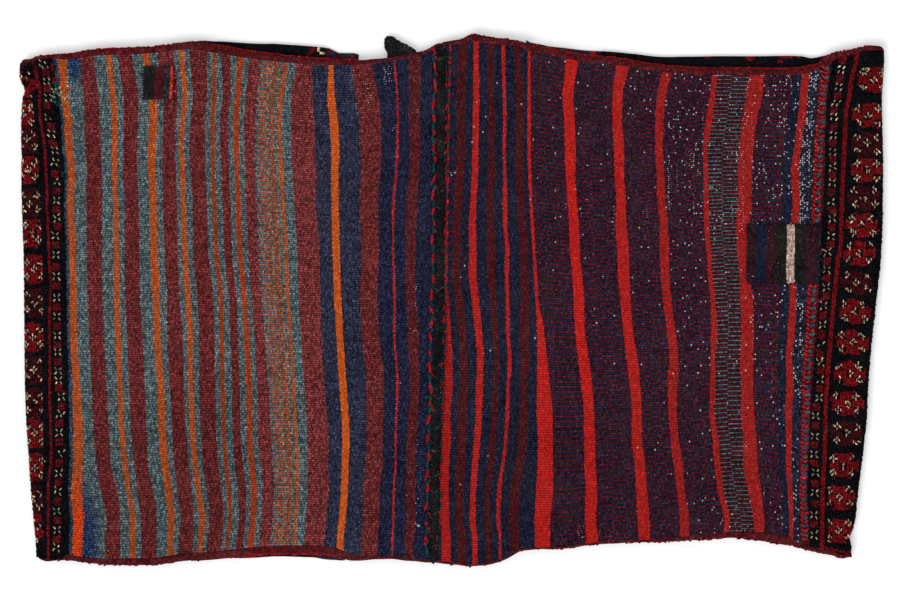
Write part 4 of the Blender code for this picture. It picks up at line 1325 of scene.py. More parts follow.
def wrappedRoll(name, centres, widths, heights, look, material, slant=0.35):
    # a roll of yarn wound round an edge, with a groove between its turns; one ring per point
    centres = np.array(centres, float)
    run, ahead = lengthAlong(centres), unitSteps(centres)
    across = np.cross((0, 0, 1), ahead)
    across /= np.linalg.norm(across, axis=1)[:, None]
    up = np.cross(ahead, across)
    angle = 2 * np.pi * (np.arange(look["sides"]) + 0.5) / look["sides"]
    turn = (run[:, None] + slant * look["wrap"] * np.sin(angle)[None]) / look["wrap"]
    swell = 1 - look["groove"] * (np.abs(np.cos(np.pi * turn)) ** 3)
    uneven = 1 + look["jitter"] * np.sin(turn.astype(int) * 12.9898)
    closing = np.clip(np.minimum(run, run[-1] - run) / (0.3 * np.max(widths)), 0, 1)
    scale = swell * uneven * (0.35 + 0.65 * np.sqrt(closing))[:, None]
    wide = widths[:, None] / 2 * np.cos(angle)[None] * scale
    high = heights / 2 * np.sin(angle)[None] * scale
    points = centres[:, None] + wide[..., None] * across[:, None] + high[..., None] * up[:, None]
    points = np.concatenate([points.reshape(-1, 3), centres[:1], centres[-1:]])
    return newPiece(name, points, tubeFaces(len(centres), look["sides"]), material)


def spread(start, end, look):
    return np.linspace(start, end, max(8, int(abs(end - start) / (look["wrap"] / pointsPerWrap))))


bindingWool = yarnMaterial("bindingWool", binding["colour"], 0.0026, 0.7, 1400, 0.5, 0.0004, 0.05)
edgingWool = yarnMaterial("edgingWool", edging["colour"], 0.0042, 0.9, 1400, 0.6, 0.0004, 0.05)
for half, edge in ((-1, 1), (-1, -1), (1, 1), (1, -1)):
    side, label = sideNames[half], "upper" if edge > 0 else "lower"
    cornerY = edgeY(edge, half * bag["length"] / 2)
    end = float(foldCentre(half, cornerY))
    x = spread(float(seamLine(float(edgeY(edge, -0.02)))) - half * binding["overlap"], end, binding)
    bend = np.radians(np.arange(4, 118, 4.5))  # the selvedge turns down over the fold
    x = np.concatenate([x, end + half * binding["bendReach"] * np.sin(bend)])
    width = bindingWidth(edge, x)
    y = edgeY(edge, x) - edge * width / 2 + 0.00025 * np.sin(210 * x) + 0.0003 * np.sin(83 * x + edge)
    z = bindingLevel(x) + 0.0003 * np.sin(120 * x + 2 * half)
    z[-len(bend):] -= binding["bendDrop"] * (1 - np.cos(bend))
    name, node, high = side + label.title(), side + "_" + label, bag["bindingHeight"]
    roll = wrappedRoll(name + "Binding", np.stack([x, y, z], 1), width, high, binding, bindingWool)
    finishPiece(roll, node + "_binding")
    thick = bag["edgingDiameter"]
    start = float(foldX(half, cornerY)) - half * (foldRadius + 0.004)
    x = spread(start, float(mouthX(half, cornerY)), edging)
    past = np.clip(bulge(edge, x) / edging["past"], 0, 1)
    offset = -thick / 2 - 0.0005 + past * (thick / 2 + 0.0003)
    y = edgeY(edge, x) + edge * offset + 0.0003 * np.sin(160 * x)
    level = bag["pileThickness"] + bag["clearance"] + thick / 2
    centres = np.stack([x, y, level + 0 * x], 1)
    roll = wrappedRoll(name + "Edging", centres, thick + 0 * x, thick, edging, edgingWool)
    finishPiece(roll, node + "_front_edging")
print("bindings and edgings ready")


def modelStitch(segments, rings, pinch):
    # a plump float of yarn, thinner at its two ends, one unit long in x
    bpy.ops.object.select_all(action="DESELECT")
    bpy.ops.mesh.primitive_uv_sphere_add(
        segments=segments, ring_count=rings, radius=0.5, rotation=(0, math.pi / 2, 0))
    bpy.ops.object.transform_apply(location=False, rotation=True, scale=True)
    bpy.ops.object.mode_set(mode="EDIT")
    mesh = bmesh.from_edit_mesh(bpy.context.object.data)
    for vert in mesh.verts:
        vert.select_set(abs(vert.co.x) < 0.12)
    mesh.select_flush_mode()
    bmesh.update_edit_mesh(bpy.context.object.data)
    bpy.ops.transform.resize(value=(1, pinch, pinch))
    bpy.ops.object.mode_set(mode="OBJECT")
    source = bpy.context.object
    points = np.array([v.co[:] for v in source.data.vertices])
    faces = [list(f.vertices) for f in source.data.polygons]
    bpy.data.objects.remove(source)
    return points, faces


plumpStitch = modelStitch(8, 6, 0.94)
smallStitch = modelStitch(6, 4, 1.0)


def sewn(name, shape, stitches, material, node):
    # stitches are (place, length, width, height, turn in degrees, tilt, colour)
    points, faces, colours = [], [], []
    base, form = shape
    for place, long, wide, high, turn, tilt, colour in stitches:
        a, b = math.radians(turn), math.radians(tilt)
        ahead = np.array((math.cos(a) * math.cos(b), math.sin(a) * math.cos(b), math.sin(b)))
        aside = np.array((-math.sin(a), math.cos(a), 0))
        up = np.cross(ahead, aside)
        first = len(points) * len(base)
        moved = base[:, :1] * long * ahead + base[:, 1:2] * wide * aside + base[:, 2:] * high * up
        points.append(moved + np.array(place))
        faces += [[v + first for v in f] for f in form]
        shade = dice.uniform(0.8, 1.25)
        colours += [tuple(c * shade for c in dye(*colour)[:3]) + (1.0,)] * len(form)
    made = newPiece(name, np.concatenate(points), faces, material)
    paintCorners(made, np.array(colours))
    return finishPiece(made, node)


stitchWool = yarnMaterial("stitchWool", None, 0.0015, 0.9, 1700, 0.8, 0.0005, 0.04)
hairWool = yarnMaterial("goatHair", None, 0.0012, 1.0, 2200, 0.9, 0.0006, 0.08)

# the overcasting along the edges, looser and brighter than the roll under it
overcast = {
    # from and to in pixels of the view, edge, share of the stitches that show
    "runs": [(24, 190, 1, 0.85), (190, 200, 1, 0.6), (200, 330, 1, 0.8), (340, 357, 1, 0.4),
             (455, 520, 1, 0.5), (545, 826, 1, 0.85), (826, 880, 1, 1.0), (60, 220, -1, 0.35),
             (225, 350, -1, 0.6), (450, 745, -1, 0.3), (745, 815, -1, 0.6), (815, 846, -1, 0.4)],
    "step": 2.5, "length": (0.0030, 0.0066), "wide": 0.0023, "high": 0.0021,
    "bright": (156, 24, 25), "plain": (112, 16, 20), "cornerRim": (150, 20, 22), "seamRim": (92, 15, 19),
    "rimCorner": 190, "rimSeam": (358, 528),  # no front shows there, only the binding's rim
    "rimIn": 0.0005, "rimDown": 0.0004, "onFront": 0.72, "onEdge": 0.9,
}
stitches = []
for left, right, side, share in overcast["runs"]:
    for px in np.arange(left, right, overcast["step"]):
        if dice.random() < share:
            x = float(toX(px + dice.normal(0, 0.6)))
            past = float(np.clip(bulge(side, x) / 0.004, 0, 1))
            y = float(edgeY(side, x)) + side * (past * 0.0016 - 0.0003 + abs(dice.normal(0, 0.0005)))
            rise = float(edgeY(side, x + 0.004) - edgeY(side, x - 0.004))
            lean = math.degrees(math.atan2(rise, 0.008))
            tone = overcast["bright"] if past > 0.5 or px > 826 else overcast["plain"]
            level = overcast["onFront" if past > 0.5 else "onEdge"]
            z = bag["pileThickness"] + bag["edgingDiameter"] * level
            corner = px < overcast["rimCorner"]
            onRim = side > 0 and (corner or overcast["rimSeam"][0] < px < overcast["rimSeam"][1])
            if onRim:
                y -= overcast["rimIn"]
                z = float(bindingLevel(x)) - overcast["rimDown"]
                tone = overcast["cornerRim" if corner else "seamRim"]
            place = (x, y, z + dice.normal(0, 0.0003))
            long = dice.uniform(*overcast["length"])
            lean = lean + dice.normal(6, 13) * (0.4 if onRim else 1)
            stitches.append((place, long, overcast["wide"], overcast["high"], lean, 0, tone))
sewn("frontOvercast", smallStitch, stitches, stitchWool, "right_upper_front_edging")

# the goat hair seam and the red and green rows beside it
seam = {
    "from": (-0.028, 0.0005), "to": (-0.015, -0.0055),  # x where the edges are read, and y past them
    "rings": 361, "coreWidth": 0.0120, "coreHeight": 0.0078, "widen": 0.28, "coreRise": -0.0015,
    "runOn": (10, 0.0002),  # the core's last rings run on under the binding
    "core": {"wrap": 0.0052, "groove": 0.1, "sides": 12, "jitter": 0.0},
    "hair": (21, 20, 21), "hairLight": (44, 42, 41), "lightShare": 0.14, "pitch": 0.0052, "slant": 34,
    "hairLength": (0.0075, 0.0105), "hairWidth": (0.0026, 0.0042), "hairHeight": 0.0030,
    "red": (138, 19, 26), "green": (16, 50, 48), "high": (0.0034, 0.0030),
    "leftChain": {"stitch": 0.0118, "aside": 0.0032, "width": (0.0036, 0.0060), "secondShare": 0.4},
    "rightChain": {"stitch": 0.0085, "columns": ((0, 0.0014, 0.0024, 0.55), (1, 0.0050, 0.0026, 0.92))},
}


def seamSpot(t):
    low = float(edgeY(-1, seam["from"][0])) + seam["from"][1]
    high = float(edgeY(1, seam["to"][0])) + seam["to"][1]
    y = low + (high - low) * t
    return float(seamLine(y)), y


def onSeam(x):
    return topLevel - float(sag(x))


count = seam["rings"]
order = np.arange(count)
ridge = []
for n in range(count):
    x, y = seamSpot(n / (count - 1))
    y += seam["runOn"][1] * max(0, n - count + 1 + seam["runOn"][0])
    ridge.append((x + 0.0004 * math.sin(0.21 * n) + 0.0003 * math.sin(0.67 * n), y,
                  onSeam(x) + seam["coreRise"] + 0.0003 * math.sin(0.35 * n)))
ridge = np.array(ridge)
widths = seam["coreWidth"] * (1 + seam["widen"] * ridge[:, 1])
widths = widths * (1 + 0.05 * np.sin(0.13 * order) + 0.03 * np.sin(0.51 * order))
seamHair = yarnMaterial("seamHair", seam["hair"], 0.0015, 1.0, 1800, 0.9, 0.0007, 0.1)
core = wrappedRoll("seamCore", ridge, widths, seam["coreHeight"], seam["core"], seamHair, slant=1.0)
finishPiece(core, "centre_seam_ridge")
stitches = []
last = seamSpot(1)[1]
pairs = int((last - seamSpot(0)[1]) / seam["pitch"])
for n in range(pairs):
    x, y = seamSpot((n + 0.5) / pairs)
    for part in (-1, 1):
        lean = dice.normal(0, 9)
        tone = seam["hairLight"] if dice.random() < seam["lightShare"] else seam["hair"]
        place = (x + part * 0.0029 + dice.normal(0, 0.0006), y + part * 0.0011 + dice.normal(0, 0.0007),
                 onSeam(x) + 0.0017 + dice.normal(0, 0.0003))
        long, wide = dice.uniform(*seam["hairLength"]), dice.uniform(*seam["hairWidth"])
        lean = part * seam["slant"] + 90 * (dice.random() < 0.12) + lean
        stitches.append((place, long, wide, seam["hairHeight"], lean, -part * 14, tone))
sewn("seamOvercast", plumpStitch, stitches, hairWool, "centre_seam_ridge")

chain = seam["leftChain"]
turnDyes = (seam["green"], seam["red"])
stitches = []
y, turn = seamSpot(0.012)[1], 0
while y < seamSpot(0.985)[1]:
    x = float(seamLine(y))
    long = min(chain["stitch"] * dice.uniform(0.55, 1.5), (last - y) / 1.06)
    at = x - (bag["ridgeWidth"] / 2 + chain["aside"]) + dice.normal(0, 0.0007)
    place = (at + dice.normal(0, 0.0005), y + long / 2, onSeam(x) + 0.0011)
    wide, lean, tilt = dice.uniform(*chain["width"]), 86 + dice.normal(0, 13), dice.normal(0, 3)
    stitches.append((place, long * 1.12, wide, seam["high"][0], lean, tilt, turnDyes[turn % 2]))
    if dice.random() < chain["secondShare"]:
        place = (at + 0.0034, y + long * dice.uniform(0.2, 0.9), onSeam(x) + 0.0019)
        lean = 90 + dice.normal(14, 12)
        stitches.append((place, long * 0.6, 0.0026, 0.0026, lean, 4, turnDyes[(turn + 1) % 2]))
    y += long * 0.93
    turn += 1
sewn("leftSeamChain", plumpStitch, stitches, stitchWool, "left_seam_chain")

chain = seam["rightChain"]
stitches = []
for column, offset, wide, share in chain["columns"]:
    y, turn = seamSpot(0.01)[1] + column * 0.004, column
    while y < seamSpot(0.985)[1]:
        x = float(seamLine(y))
        long = min(chain["stitch"] * dice.uniform(0.7, 1.25), (last - y) / 1.05)
        low = min(1, max(0, (-0.06 - y) / 0.14))  # fewer stitches are left low down, the red ones least
        if dice.random() < share - 0.3 * low and not (low and turn % 2 and dice.random() < 0.5 * low):
            aside = bag["ridgeWidth"] / 2 - 0.0014 + offset - 0.0026 * min(1, max(0, (0.05 - y) / 0.3))
            z = onSeam(x) + (0.0013 if column else 0.0019)
            place = (x + aside + dice.normal(0, 0.0005), y + long / 2, z)
            fat, lean, tilt = wide * dice.uniform(0.85, 1.15), 90 + dice.normal(-8, 10), dice.normal(0, 4)
            stitches.append((place, long * 1.1, fat, seam["high"][1], lean, tilt, turnDyes[turn % 2]))
        y += long * 0.95
        turn += 1
sewn("rightSeamChain", plumpStitch, stitches, stitchWool, "right_seam_chain")

# the twined row between the right kilim and its pile
twine = {"pair": 8.8, "red": (146, 27, 27), "teal": (46, 70, 80), "blue": (40, 56, 82), "from": 69,
         "to": 541, "patchFrom": 223, "patchTo": 284, "long": 0.0072, "wide": 0.0040, "high": 0.0030,
         "fat": 1.75}
chainLeft, chainRight = [smoothLine([(row, line[at]) for row, line in sorted(rightGuides.items())])
                         for at in (-2, -1)]
stitches = []
py, turn = twine["from"], 0
while py < twine["to"]:
    if not twine["patchFrom"] < py < twine["patchTo"]:
        left, right = float(chainLeft(py)), float(chainRight(py))
        first = (0.22, 0.0012, -38, 1, 1, "red")
        second = (0.66, 0, 38, 1, 1, "red")
        if turn % 2 == 0:  # fatter in every other pair, and blue more often lower down
            wool = "blue" if dice.random() < (py - 300) / 220 else "teal"
            second = (0.58, 0, 16, 1.12, twine["fat"], wool)
        for share, up, lean, longer, fat, colour in (first, second):
            x, y = float(toX(left + (right - left) * share + 0.8)), float(toY(py))
            z = float(clothTop(x, y)) + 0.0005
            place = (x + dice.normal(0, 0.0003), y + up + dice.normal(0, 0.0003), z)
            long = twine["long"] * dice.uniform(0.85, 1.15) * longer
            wide = twine["wide"] * dice.uniform(0.85, 1.1) * fat
            lean, tilt = lean + dice.normal(0, 10), dice.normal(0, 4)
            stitches.append((place, long, wide, twine["high"], lean, tilt, twine[colour]))
    py += twine["pair"] / 2 * dice.uniform(0.9, 1.1)
    turn += 1
sewn("endTwining", plumpStitch, stitches, stitchWool, "right_bag_weave")
print("seam and chains ready")

# white flecks where the weft has worn through to the warp, in runs across the ribs
flecks = {"size": (0.0012, 0.0013, 0.0008), "white": (200, 195, 190), "dim": (146, 142, 150),
          "lilac": (150, 140, 190)}
# left, right, top, bottom in pixels of the view, how many, colour
runs = [
    (667.6, 669.6, 160, 211, 22, "white"), (670.5, 672, 168, 205, 9, "dim"),
    (676.6, 678.4, 163, 192, 9, "white"), (689, 691.4, 150, 167, 7, "white"),
    (689.5, 692, 180, 187, 3, "white"), (693, 695, 153, 166, 5, "white"), (693, 695, 192, 207, 4, "white"),
    (697, 699, 168, 177, 4, "white"), (700.5, 702.5, 188, 219, 8, "dim"), (721, 723, 186, 191, 2, "white"),
    (721, 723, 219, 226, 3, "white"), (734.5, 737.5, 184, 212, 10, "white"),
    (731, 733, 199, 222, 7, "white"), (613, 615, 205, 238, 9, "white"),
    (563.5, 566.5, 196, 213, 5, "white"), (580, 582, 206, 218, 3, "dim"),
    (586.5, 589.5, 198, 201, 2, "white"), (587, 594.5, 254, 258, 2, "white"),
    (535, 537, 243, 247, 1, "white"), (642.5, 648.5, 209, 219, 7, "white"),
    (415, 418.4, 284, 291, 4, "white"), (415, 418.4, 302, 309, 4, "white"),
    (415, 418.4, 329, 334, 3, "white"), (412, 414.4, 330, 334, 2, "white"), (351, 353.4, 70, 91, 7, "dim"),
    (577.5, 583.5, 524, 538, 7, "white"), (779, 792, 77, 91, 13, "dim"), (800, 803, 346, 356, 4, "white"),
    (797, 806, 352, 356, 7, "white"), (770, 800, 350.5, 354.5, 7, "white"),
    (799, 801.6, 379, 402, 10, "white"), (771.3, 773, 372, 399, 8, "white"),
    (752.2, 753.6, 296, 345, 9, "white"), (775, 785, 346, 358, 3, "white"),
    (661, 674, 521, 525, 2, "lilac"), (598.5, 600, 530, 532, 1, "lilac"), (70.4, 72, 84, 98, 5, "lilac"),
    (742, 749, 106, 130, 13, "white"), (738, 745, 200, 232, 14, "white"),
    (751.5, 753.4, 104, 240, 24, "white"), (736.5, 738.5, 108, 160, 9, "white"),
    (702.5, 704.5, 110, 135, 6, "white"), (71, 72, 296.5, 298, 1, "white"),
    (147, 148, 430.5, 432, 1, "white"), (741, 744, 150, 231, 26, "dim"), (713, 722, 60, 74, 8, "white"),
    (730, 745, 92, 108, 4, "dim"), (797, 811, 66, 222, 34, "white"), (797, 806, 284, 400, 16, "dim"),
    (664, 706, 90, 240, 8, "dim"), (380, 428, 300, 540, 12, "white"), (448, 528, 60, 540, 6, "dim"),
    (180, 260, 60, 540, 10, "dim"), (383, 392.5, 65, 84, 24, "white"), (362, 377, 82, 104, 22, "white"),
    (417.5, 420, 57, 62, 4, "white"), (417.6, 419.6, 108, 114, 4, "white"),
    (392.6, 396, 125, 131, 5, "white"), (340, 347, 98, 108, 4, "dim"), (315, 327, 74, 122, 12, "dim"),
    (356.3, 358.4, 103, 113, 5, "white"), (352, 354, 70, 78, 3, "white"),
    (416.5, 418.5, 400, 520, 8, "white"), (392.6, 394, 310, 500, 6, "dim"),
    (712, 748, 500, 536, 16, "white"), (760, 789, 60, 76, 6, "white"),
]
ribRows = {half: ribShares(half)[1][2::kilim["rowsPerRib"]] for half in (-1, 1)}


def onRib(half, px, py):
    # the nearest rib's crest, so that a fleck sits on it
    x = toX(px)
    low, high = backEdges(x, kilim["tuck"])
    crests = ribRows[half]
    share = crests[int(np.argmin(abs(crests - (toY(py) - low) / (high - low))))]
    return float(x), float(low + (high - low) * share)


stitches = []
for left, right, top, bottom, count, colour in runs:
    for n in range(count):
        px = dice.uniform(left, right)
        if right - left < 8:  # a run along one rib keeps its flecks apart
            py = top + (bottom - top) * (n + dice.uniform(0.2, 0.8)) / count
        else:
            py = dice.uniform(top, bottom)
        x, y = onRib(-1 if px < 438 else 1, px, py)
        size = dice.uniform(0.6, 1.15)
        long, wide, high = flecks["size"]
        tone = flecks[colour] if dice.random() < 0.75 else flecks["dim"]
        place = (x, y, float(puckeredTop(x, y)) + 0.0001)
        stitches.append((place, long * size, wide * size, high, dice.normal(0, 12), 0, tone))
fleckWool = yarnMaterial("fleckWool", None, 0.0008, 0.5, 1800, 0.5, 0.0003, 0.1)
sewn("warpFlecks", smallStitch, stitches, fleckWool, "right_bag_weave")
print(len(stitches), "flecks")

# darning stitches at the left end: left, right, top, bottom, how many, colour
darning = [
    (50.5, 60, 83, 106, 36, (24, 76, 60)), (52, 64, 85, 101, 13, (170, 156, 128)),
    (50, 60, 82, 106, 12, (16, 16, 22)), (60, 70, 85, 106, 22, (168, 112, 50)),
    (61, 70, 86, 103, 12, (176, 158, 110)), (62, 70, 88, 108, 14, (196, 70, 24)),
    (66, 72.5, 82, 99, 7, (132, 126, 160)), (56, 60, 86, 92, 3, (120, 112, 150)),
    (63, 67, 168, 178, 5, (20, 70, 62)),
]
# the same and a few loose threads by and on the large patch
bits = [
    (816.5, 820.5, 232, 278, 13, (118, 20, 26)), (817, 822, 226, 286, 16, (24, 58, 60)),
    (821.4, 823.6, 248.6, 250, 2, (190, 96, 118)), (765, 778, 228, 248, 5, (120, 96, 92)),
    (766, 773, 228, 268, 5, (112, 22, 38)), (804, 814, 242, 270, 6, (112, 22, 38)),
    (788, 815, 236, 282, 7, (88, 84, 84)), (774, 788, 262, 282, 4, (110, 104, 104)),
    (752, 753, 275.4, 276.6, 2, (214, 204, 226)), (450.5, 453, 172, 175, 2, (150, 148, 156)),
    (453, 456, 172, 175, 2, (150, 148, 156)), (415, 416.4, 523, 524, 1, (190, 188, 190)),
    (417, 419.4, 525, 526, 2, (206, 206, 210)),
]
for name, spots, slot, node in (("darning", darning, "striped_weave", "left_bag_weave"),
                                ("looseBits", bits, "banded_weave", "right_bag_weave")):
    stitches = []
    for left, right, top, bottom, count, colour in spots:
        for n in range(count):
            px, py = dice.uniform(left, right), dice.uniform(top, bottom)
            x, y = float(toX(px)), float(toY(py))
            onPatch = 747 < px < 819 and 225 < py < 283
            lift = bag["patchThickness"] + 0.0006 if onPatch else 0.0003 if px < 816 else 0.0022
            if count > 2:
                turn = 90 + dice.normal(0, 38)
            else:
                turn = -30 if px < 453 or px > 816 else 40 if px < 457 else -14
            place = (x, y, float(puckeredTop(x, y)) + lift)
            long = dice.uniform(0.0020, 0.0048) * (0.5 if onPatch else 1)
            wide = 0.0011 if onPatch else 0.0015
            stitches.append((place, long, wide, 0.0013, turn, 0, colour))
    sewn(name, smallStitch, stitches, stitchWool, node)

# mends sewn on the back
patches = {
    "small_patch": {
        "name": "smallPatch", "box": (144.3, 175.3, 66.6, 99.5), "cell": 0.0017, "flat": (0.046, 0.046),
        "stripes": [(0, (24, 21, 23)), (0.37, (66, 15, 26)), (0.68, (26, 38, 44)), (0.85, (180, 46, 22)),
                    (0.945, (70, 16, 24))],
        "step": 3.4, "threads": ((16, 16, 20), (24, 30, 50)), "edgeThread": (140, 130, 180),
    },
    "large_patch": {
        "name": "largePatch", "box": (746.8, 819.5, 224.5, 283), "cell": 0.0018, "flat": (0.098, 0.083),
        "stripes": [(0, (38, 17, 22)), (0.125, (19, 26, 48)), (0.265, (46, 15, 25)), (0.37, (27, 24, 24)),
                    (0.54, (176, 148, 138)), (0.65, (25, 22, 22)), (0.815, (44, 15, 26)),
                    (0.955, (20, 30, 36))],
        "step": 3.6, "threads": ((24, 26, 44), (18, 18, 22)),
    },
}
patchCloth = {"columns": 1.6, "pick": 2.3, "weave": 0.00016, "hills": 0.0004, "over": 0.0003,
              "under": 0.0002, "rough": 0.94, "alongU": 0.0, "alongRib": 5.1, "acrossRib": 0.0,
              "ragged": 0.035, "depth": 0.75, "furrow": 0.4, "dust": 0.05, "fibre": 1100, "bump": 0.6}


def patchPiece(node):
    plan, look = patches[node], patchCloth
    left, right, top, bottom = plan["box"]
    columns, rows = int((right - left) * look["columns"]), int((bottom - top) * look["columns"])
    px, py = np.meshgrid(np.linspace(left, right, columns + 1), np.linspace(bottom, top, rows + 1))
    fromX, fromY = np.minimum(px - left, right - px), np.minimum(py - top, bottom - py)
    # the cut edges fray a little
    frayX = 0.5 * np.sin(py * 1.9) + 0.3 * np.sin(py * 4.3)
    frayY = 0.4 * np.sin(px * 1.7) + 0.3 * np.sin(px * 3.9)
    x = toX(px + frayX * np.exp(-fromX / 2) + 0.5 * np.sin(py / 9))
    y = toY(py + frayY * np.exp(-fromY / 2))
    lift = bag["patchThickness"] * (1 - 0.35 * np.exp(-np.minimum(fromX, fromY) / 1.2))
    crossing = (np.arange(rows + 1)[:, None] + np.arange(columns + 1)[None]) % 2
    under = puckeredTop(x, y)
    z = under + look["over"] + lift + look["weave"] * np.where(crossing == 0, 1, -1)
    z = z + look["hills"] * np.sin(x * 160) * np.sin(y * 130)
    uv = np.stack([(px - left) / (right - left), (py - top) / look["pick"]], -1)
    stops = [(at, dye(*colour)) for at, colour in plan["stripes"]]
    wool = stripedWool(plan["name"] + "Wool", stops, {**look, "cell": plan["cell"]})
    outer, inner = np.stack([x, y, z], -1), np.stack([x, y, under + look["under"]], -1)
    return finishPiece(closedSheet(plan["name"], outer, inner, wool, uv), node)


mends = [patchPiece(node) for node in patches]
stitches = []
for plan in patches.values():
    left, right, top, bottom = plan["box"]
    acrossAt, downAt = np.arange(left + 1, right, plan["step"]), np.arange(top + 1, bottom, plan["step"])
    spots = [(px, py, 90) for py in (top, bottom) for px in acrossAt]
    spots += [(px, py, 0) for px in (left, right) for py in downAt]
    for px, py, turn in spots:
        x, y = float(toX(px)), float(toY(py))
        tone = plan["threads"][0] if dice.random() < 0.6 else plan["threads"][1]
        if "edgeThread" in plan and (py == top or px == right) and dice.random() < 0.45:
            tone = plan["edgeThread"]
        place = (x + dice.normal(0, 0.0004), y + dice.normal(0, 0.0004), float(puckeredTop(x, y)) + 0.0014)
        long, lean = dice.uniform(0.0036, 0.0056), turn + dice.normal(0, 16)
        stitches.append((place, long, 0.0013, 0.0013, lean, 0, tone))
sewn("patchStitches", smallStitch, stitches, stitchWool, "large_patch")
print("patches ready")

# closure loops, twisted goat hair cord doubled into a hairpin
loops = {"length": 0.046, "width": 0.0105, "cord": 0.0040, "twist": 0.0062, "each": 7, "hair": (24, 22, 23),
         "level": 0.0023, "step": 0.0011, "sides": 8}


def hairpin(rootX, rootY, way):
    # centre line of one loop: out along one side, round the bow and back
    reach, half = loops["length"] - 0.004, loops["width"] / 2 - loops["cord"] / 2
    out = [(rootX + way * t * (reach - half), rootY - half * (1 - 0.25 * math.sin(math.pi * t)))
           for t in np.linspace(0, 1, 14)]
    bow = [(rootX + way * (reach - half + half * math.sin(a)), rootY - half * math.cos(a))
           for a in np.linspace(0.2, math.pi - 0.2, 9)]
    back = [(x, 2 * rootY - y) for x, y in reversed(out)]
    return np.array([(x, y, loops["level"]) for x, y in out + bow + back])


def twistedCord(line):
    # two strands wound together, as one skin
    run = lengthAlong(line)
    fine = np.linspace(0, run[-1], int(run[-1] / loops["step"]))
    line = np.stack([np.interp(fine, run, line[:, k]) for k in range(3)], 1)
    across = np.cross((0, 0, 1), unitSteps(line))
    angle = 2 * np.pi * np.arange(loops["sides"]) / loops["sides"]
    wound = angle[None] - 2 * np.pi * fine[:, None] / loops["twist"] / 2
    radius = loops["cord"] / 2 * (0.80 + 0.20 * abs(np.cos(wound)))
    points = line[:, None] + (radius * np.cos(angle))[..., None] * across[:, None]
    points = points + (radius * np.sin(angle))[..., None] * np.array((0, 0, 1))
    points = np.concatenate([points.reshape(-1, 3), line[:1], line[-1:]])
    return points, tubeFaces(len(line), loops["sides"])


loopHair = yarnMaterial("loopHair", loops["hair"], 0.0012, 1.0, 2000, 0.8, 0.0004, 0.1)
for half, side in sideNames.items():
    for n in range(loops["each"]):
        node = side + "_closure_loop_" + str(n + 1)
        low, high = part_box(node)
        root = (low if half < 0 else high)[0] - bag["shiftX"] - half * 0.0005
        points, faces = twistedCord(hairpin(root, (low[1] + high[1]) / 2, -half))
        finishPiece(newPiece(side + "Loop" + str(n + 1), points, faces, loopHair), node)
print("loops ready")

# tie tab at the upper edge: a stub of coarse hair band
tab = {
    "outline": [(384.5, 38), (388, 35.4), (394, 36.3), (401, 41.6), (408, 44.3), (416, 50), (420, 55.5),
                (404, 58.5), (388, 58.5), (387, 51), (384.6, 47)],
    "rim": 96, "low": 0.0018, "high": 0.0105, "rough": (0.00035, 0.0003), "hair": (24, 23, 24),
    # rings from the top's middle round to the bottom's: share of the way to the rim, share of the height
    "shells": [(0.35, 1.0), (0.7, 0.97), (0.9, 0.85), (1.0, 0.5), (0.9, 0.12), (0.7, 0.02), (0.35, 0.0)],
    "hairs": 150, "hairLength": (0.004, 0.007), "hairWide": 0.0016, "hairHigh": 0.0013,
    "hairLight": (46, 45, 46),
}
outline = np.array([(float(toX(a)), float(toY(b))) for a, b in tab["outline"]])
closed = np.concatenate([outline, outline[:1]])
run = lengthAlong(closed)
steps = np.linspace(0, run[-1], tab["rim"] + 1)[:-1]
rim = np.stack([np.interp(steps, run, closed[:, k]) for k in (0, 1)], 1)
rim += dice.normal(0, tab["rough"][0], rim.shape)
heart, size = rim.mean(0), tab["rim"]
points = []
for share, level in tab["shells"]:
    bumpy = dice.normal(0, tab["rough"][0 if 0 < level < 1 else 1], size)
    z = tab["low"] + (tab["high"] - tab["low"]) * level + bumpy
    points.append(np.column_stack([heart + (rim - heart) * share, z]))
points.append(np.array([(*heart, tab["high"]), (*heart, tab["low"])]))
faces = tubeFaces(len(tab["shells"]), size)
area = np.sum(closed[:-1, 0] * closed[1:, 1] - closed[1:, 0] * closed[:-1, 1])
if area > 0:
    faces = [f[::-1] for f in faces]
tabHair = yarnMaterial("tabHair", tab["hair"], 0.0014, 1.0, 1500, 1.0, 0.0010, 0.08)
finishPiece(newPiece("tieTab", np.concatenate(points), faces, tabHair), "upper_tie_tab")
stitches = []
for n in range(tab["hairs"]):
    share = math.sqrt(dice.random()) * 0.93
    spot = heart + (rim[int(dice.integers(0, size))] - heart) * share
    place = (spot[0], spot[1], tab["high"] - 0.0004 - 0.002 * max(0, share - 0.75) / 0.2)
    long, lean, tilt = dice.uniform(*tab["hairLength"]), dice.normal(118, 16), dice.normal(0, 6)
    tone = tab["hairLight"] if dice.random() < 0.3 else tab["hair"]
    stitches.append((place, long, tab["hairWide"], tab["hairHigh"], lean, tilt, tone))
sewn("tieTabHair", smallStitch, stitches, hairWool, "upper_tie_tab")
print("tab ready")

# camera, light and floor
camera = {"place": (-0.0025, 0.0014, 4.217), "lens": 118.85, "sensor": 36}
studio = {"sky": 0.60, "sun": 1.30, "sunSpread": 35, "sunTilt": (30.4, -28)}
ground = {"size": 9, "level": -0.0012, "paper": 0.97, "glow": 0.26}
scene = bpy.context.scene
eye = bpy.data.objects.new("camera", bpy.data.cameras.new("camera"))
eye.location = camera["place"]
eye.data.lens = camera["lens"]
eye.data.sensor_width = camera["sensor"]
scene.collection.objects.link(eye)
scene.camera = eye
scene.view_settings.view_transform = "Standard"

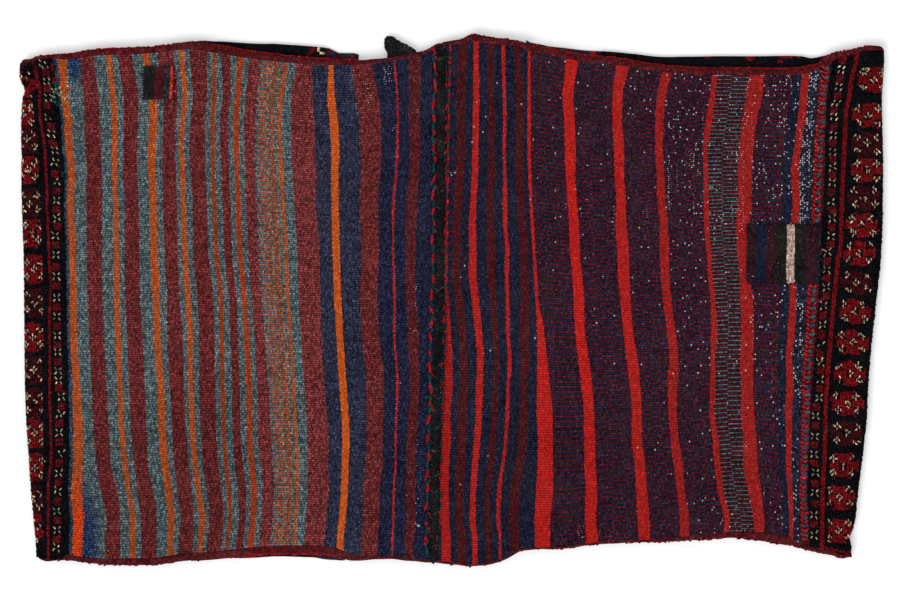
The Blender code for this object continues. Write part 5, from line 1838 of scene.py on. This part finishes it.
sun = bpy.data.objects.new("keyLight", bpy.data.lights.new("keyLight", "SUN"))
sun.data.energy = studio["sun"]
sun.data.angle = math.radians(studio["sunSpread"])
sun.rotation_euler = (math.radians(studio["sunTilt"][0]), math.radians(studio["sunTilt"][1]), 0)
scene.collection.objects.link(sun)

world = bpy.data.worlds.new("studio")
scene.world = world
world.use_nodes = True
tree = world.node_tree
for node in list(tree.nodes):
    tree.nodes.remove(node)
path = addNode(tree, "ShaderNodeLightPath")
seen = Wire(tree, path.outputs["Is Camera Ray"])
for kind in ("Is Glossy Ray", "Is Transmission Ray"):
    seen = seen.most(Wire(tree, path.outputs[kind]))
sky = addNode(tree, "ShaderNodeBackground", {
    "Color": (1, 1, 1, 1), "Strength": seen.remap(0.0, 1.0, studio["sky"], 1.0)})
addNode(tree, "ShaderNodeOutputWorld", {"Surface": Wire(tree, sky.outputs[0])})

bpy.ops.object.select_all(action="DESELECT")
bpy.ops.mesh.primitive_plane_add(size=ground["size"], location=(0, 0, ground["level"]))
floor = bpy.context.object
floor.name = "floor"
paper = bpy.data.materials.new("floorPaper")
paper.use_nodes = True
tree = paper.node_tree
shader = tree.nodes["Principled BSDF"]
shader.inputs["Base Color"].default_value = (ground["paper"],) * 3 + (1,)
shader.inputs["Roughness"].default_value = 0.9
shader.inputs["Specular IOR Level"].default_value = 0.0
shader.inputs["Emission Color"].default_value = (1, 1, 1, 1)
seen = Wire(tree, addNode(tree, "ShaderNodeLightPath").outputs["Is Camera Ray"])
tree.links.new((seen * ground["glow"]).socket, shader.inputs["Emission Strength"])
clear = addNode(tree, "ShaderNodeBsdfTransparent")
facing = Wire(tree, addNode(tree, "ShaderNodeNewGeometry").outputs["Backfacing"])
mix = addNode(tree, "ShaderNodeMixShader", {
    0: facing, 1: Wire(tree, shader.outputs[0]), 2: Wire(tree, clear.outputs[0])})
tree.links.new(mix.outputs[0], tree.nodes["Material Output"].inputs["Surface"])
floor.data.materials.append(paper)
print("camera, light and floor ready")
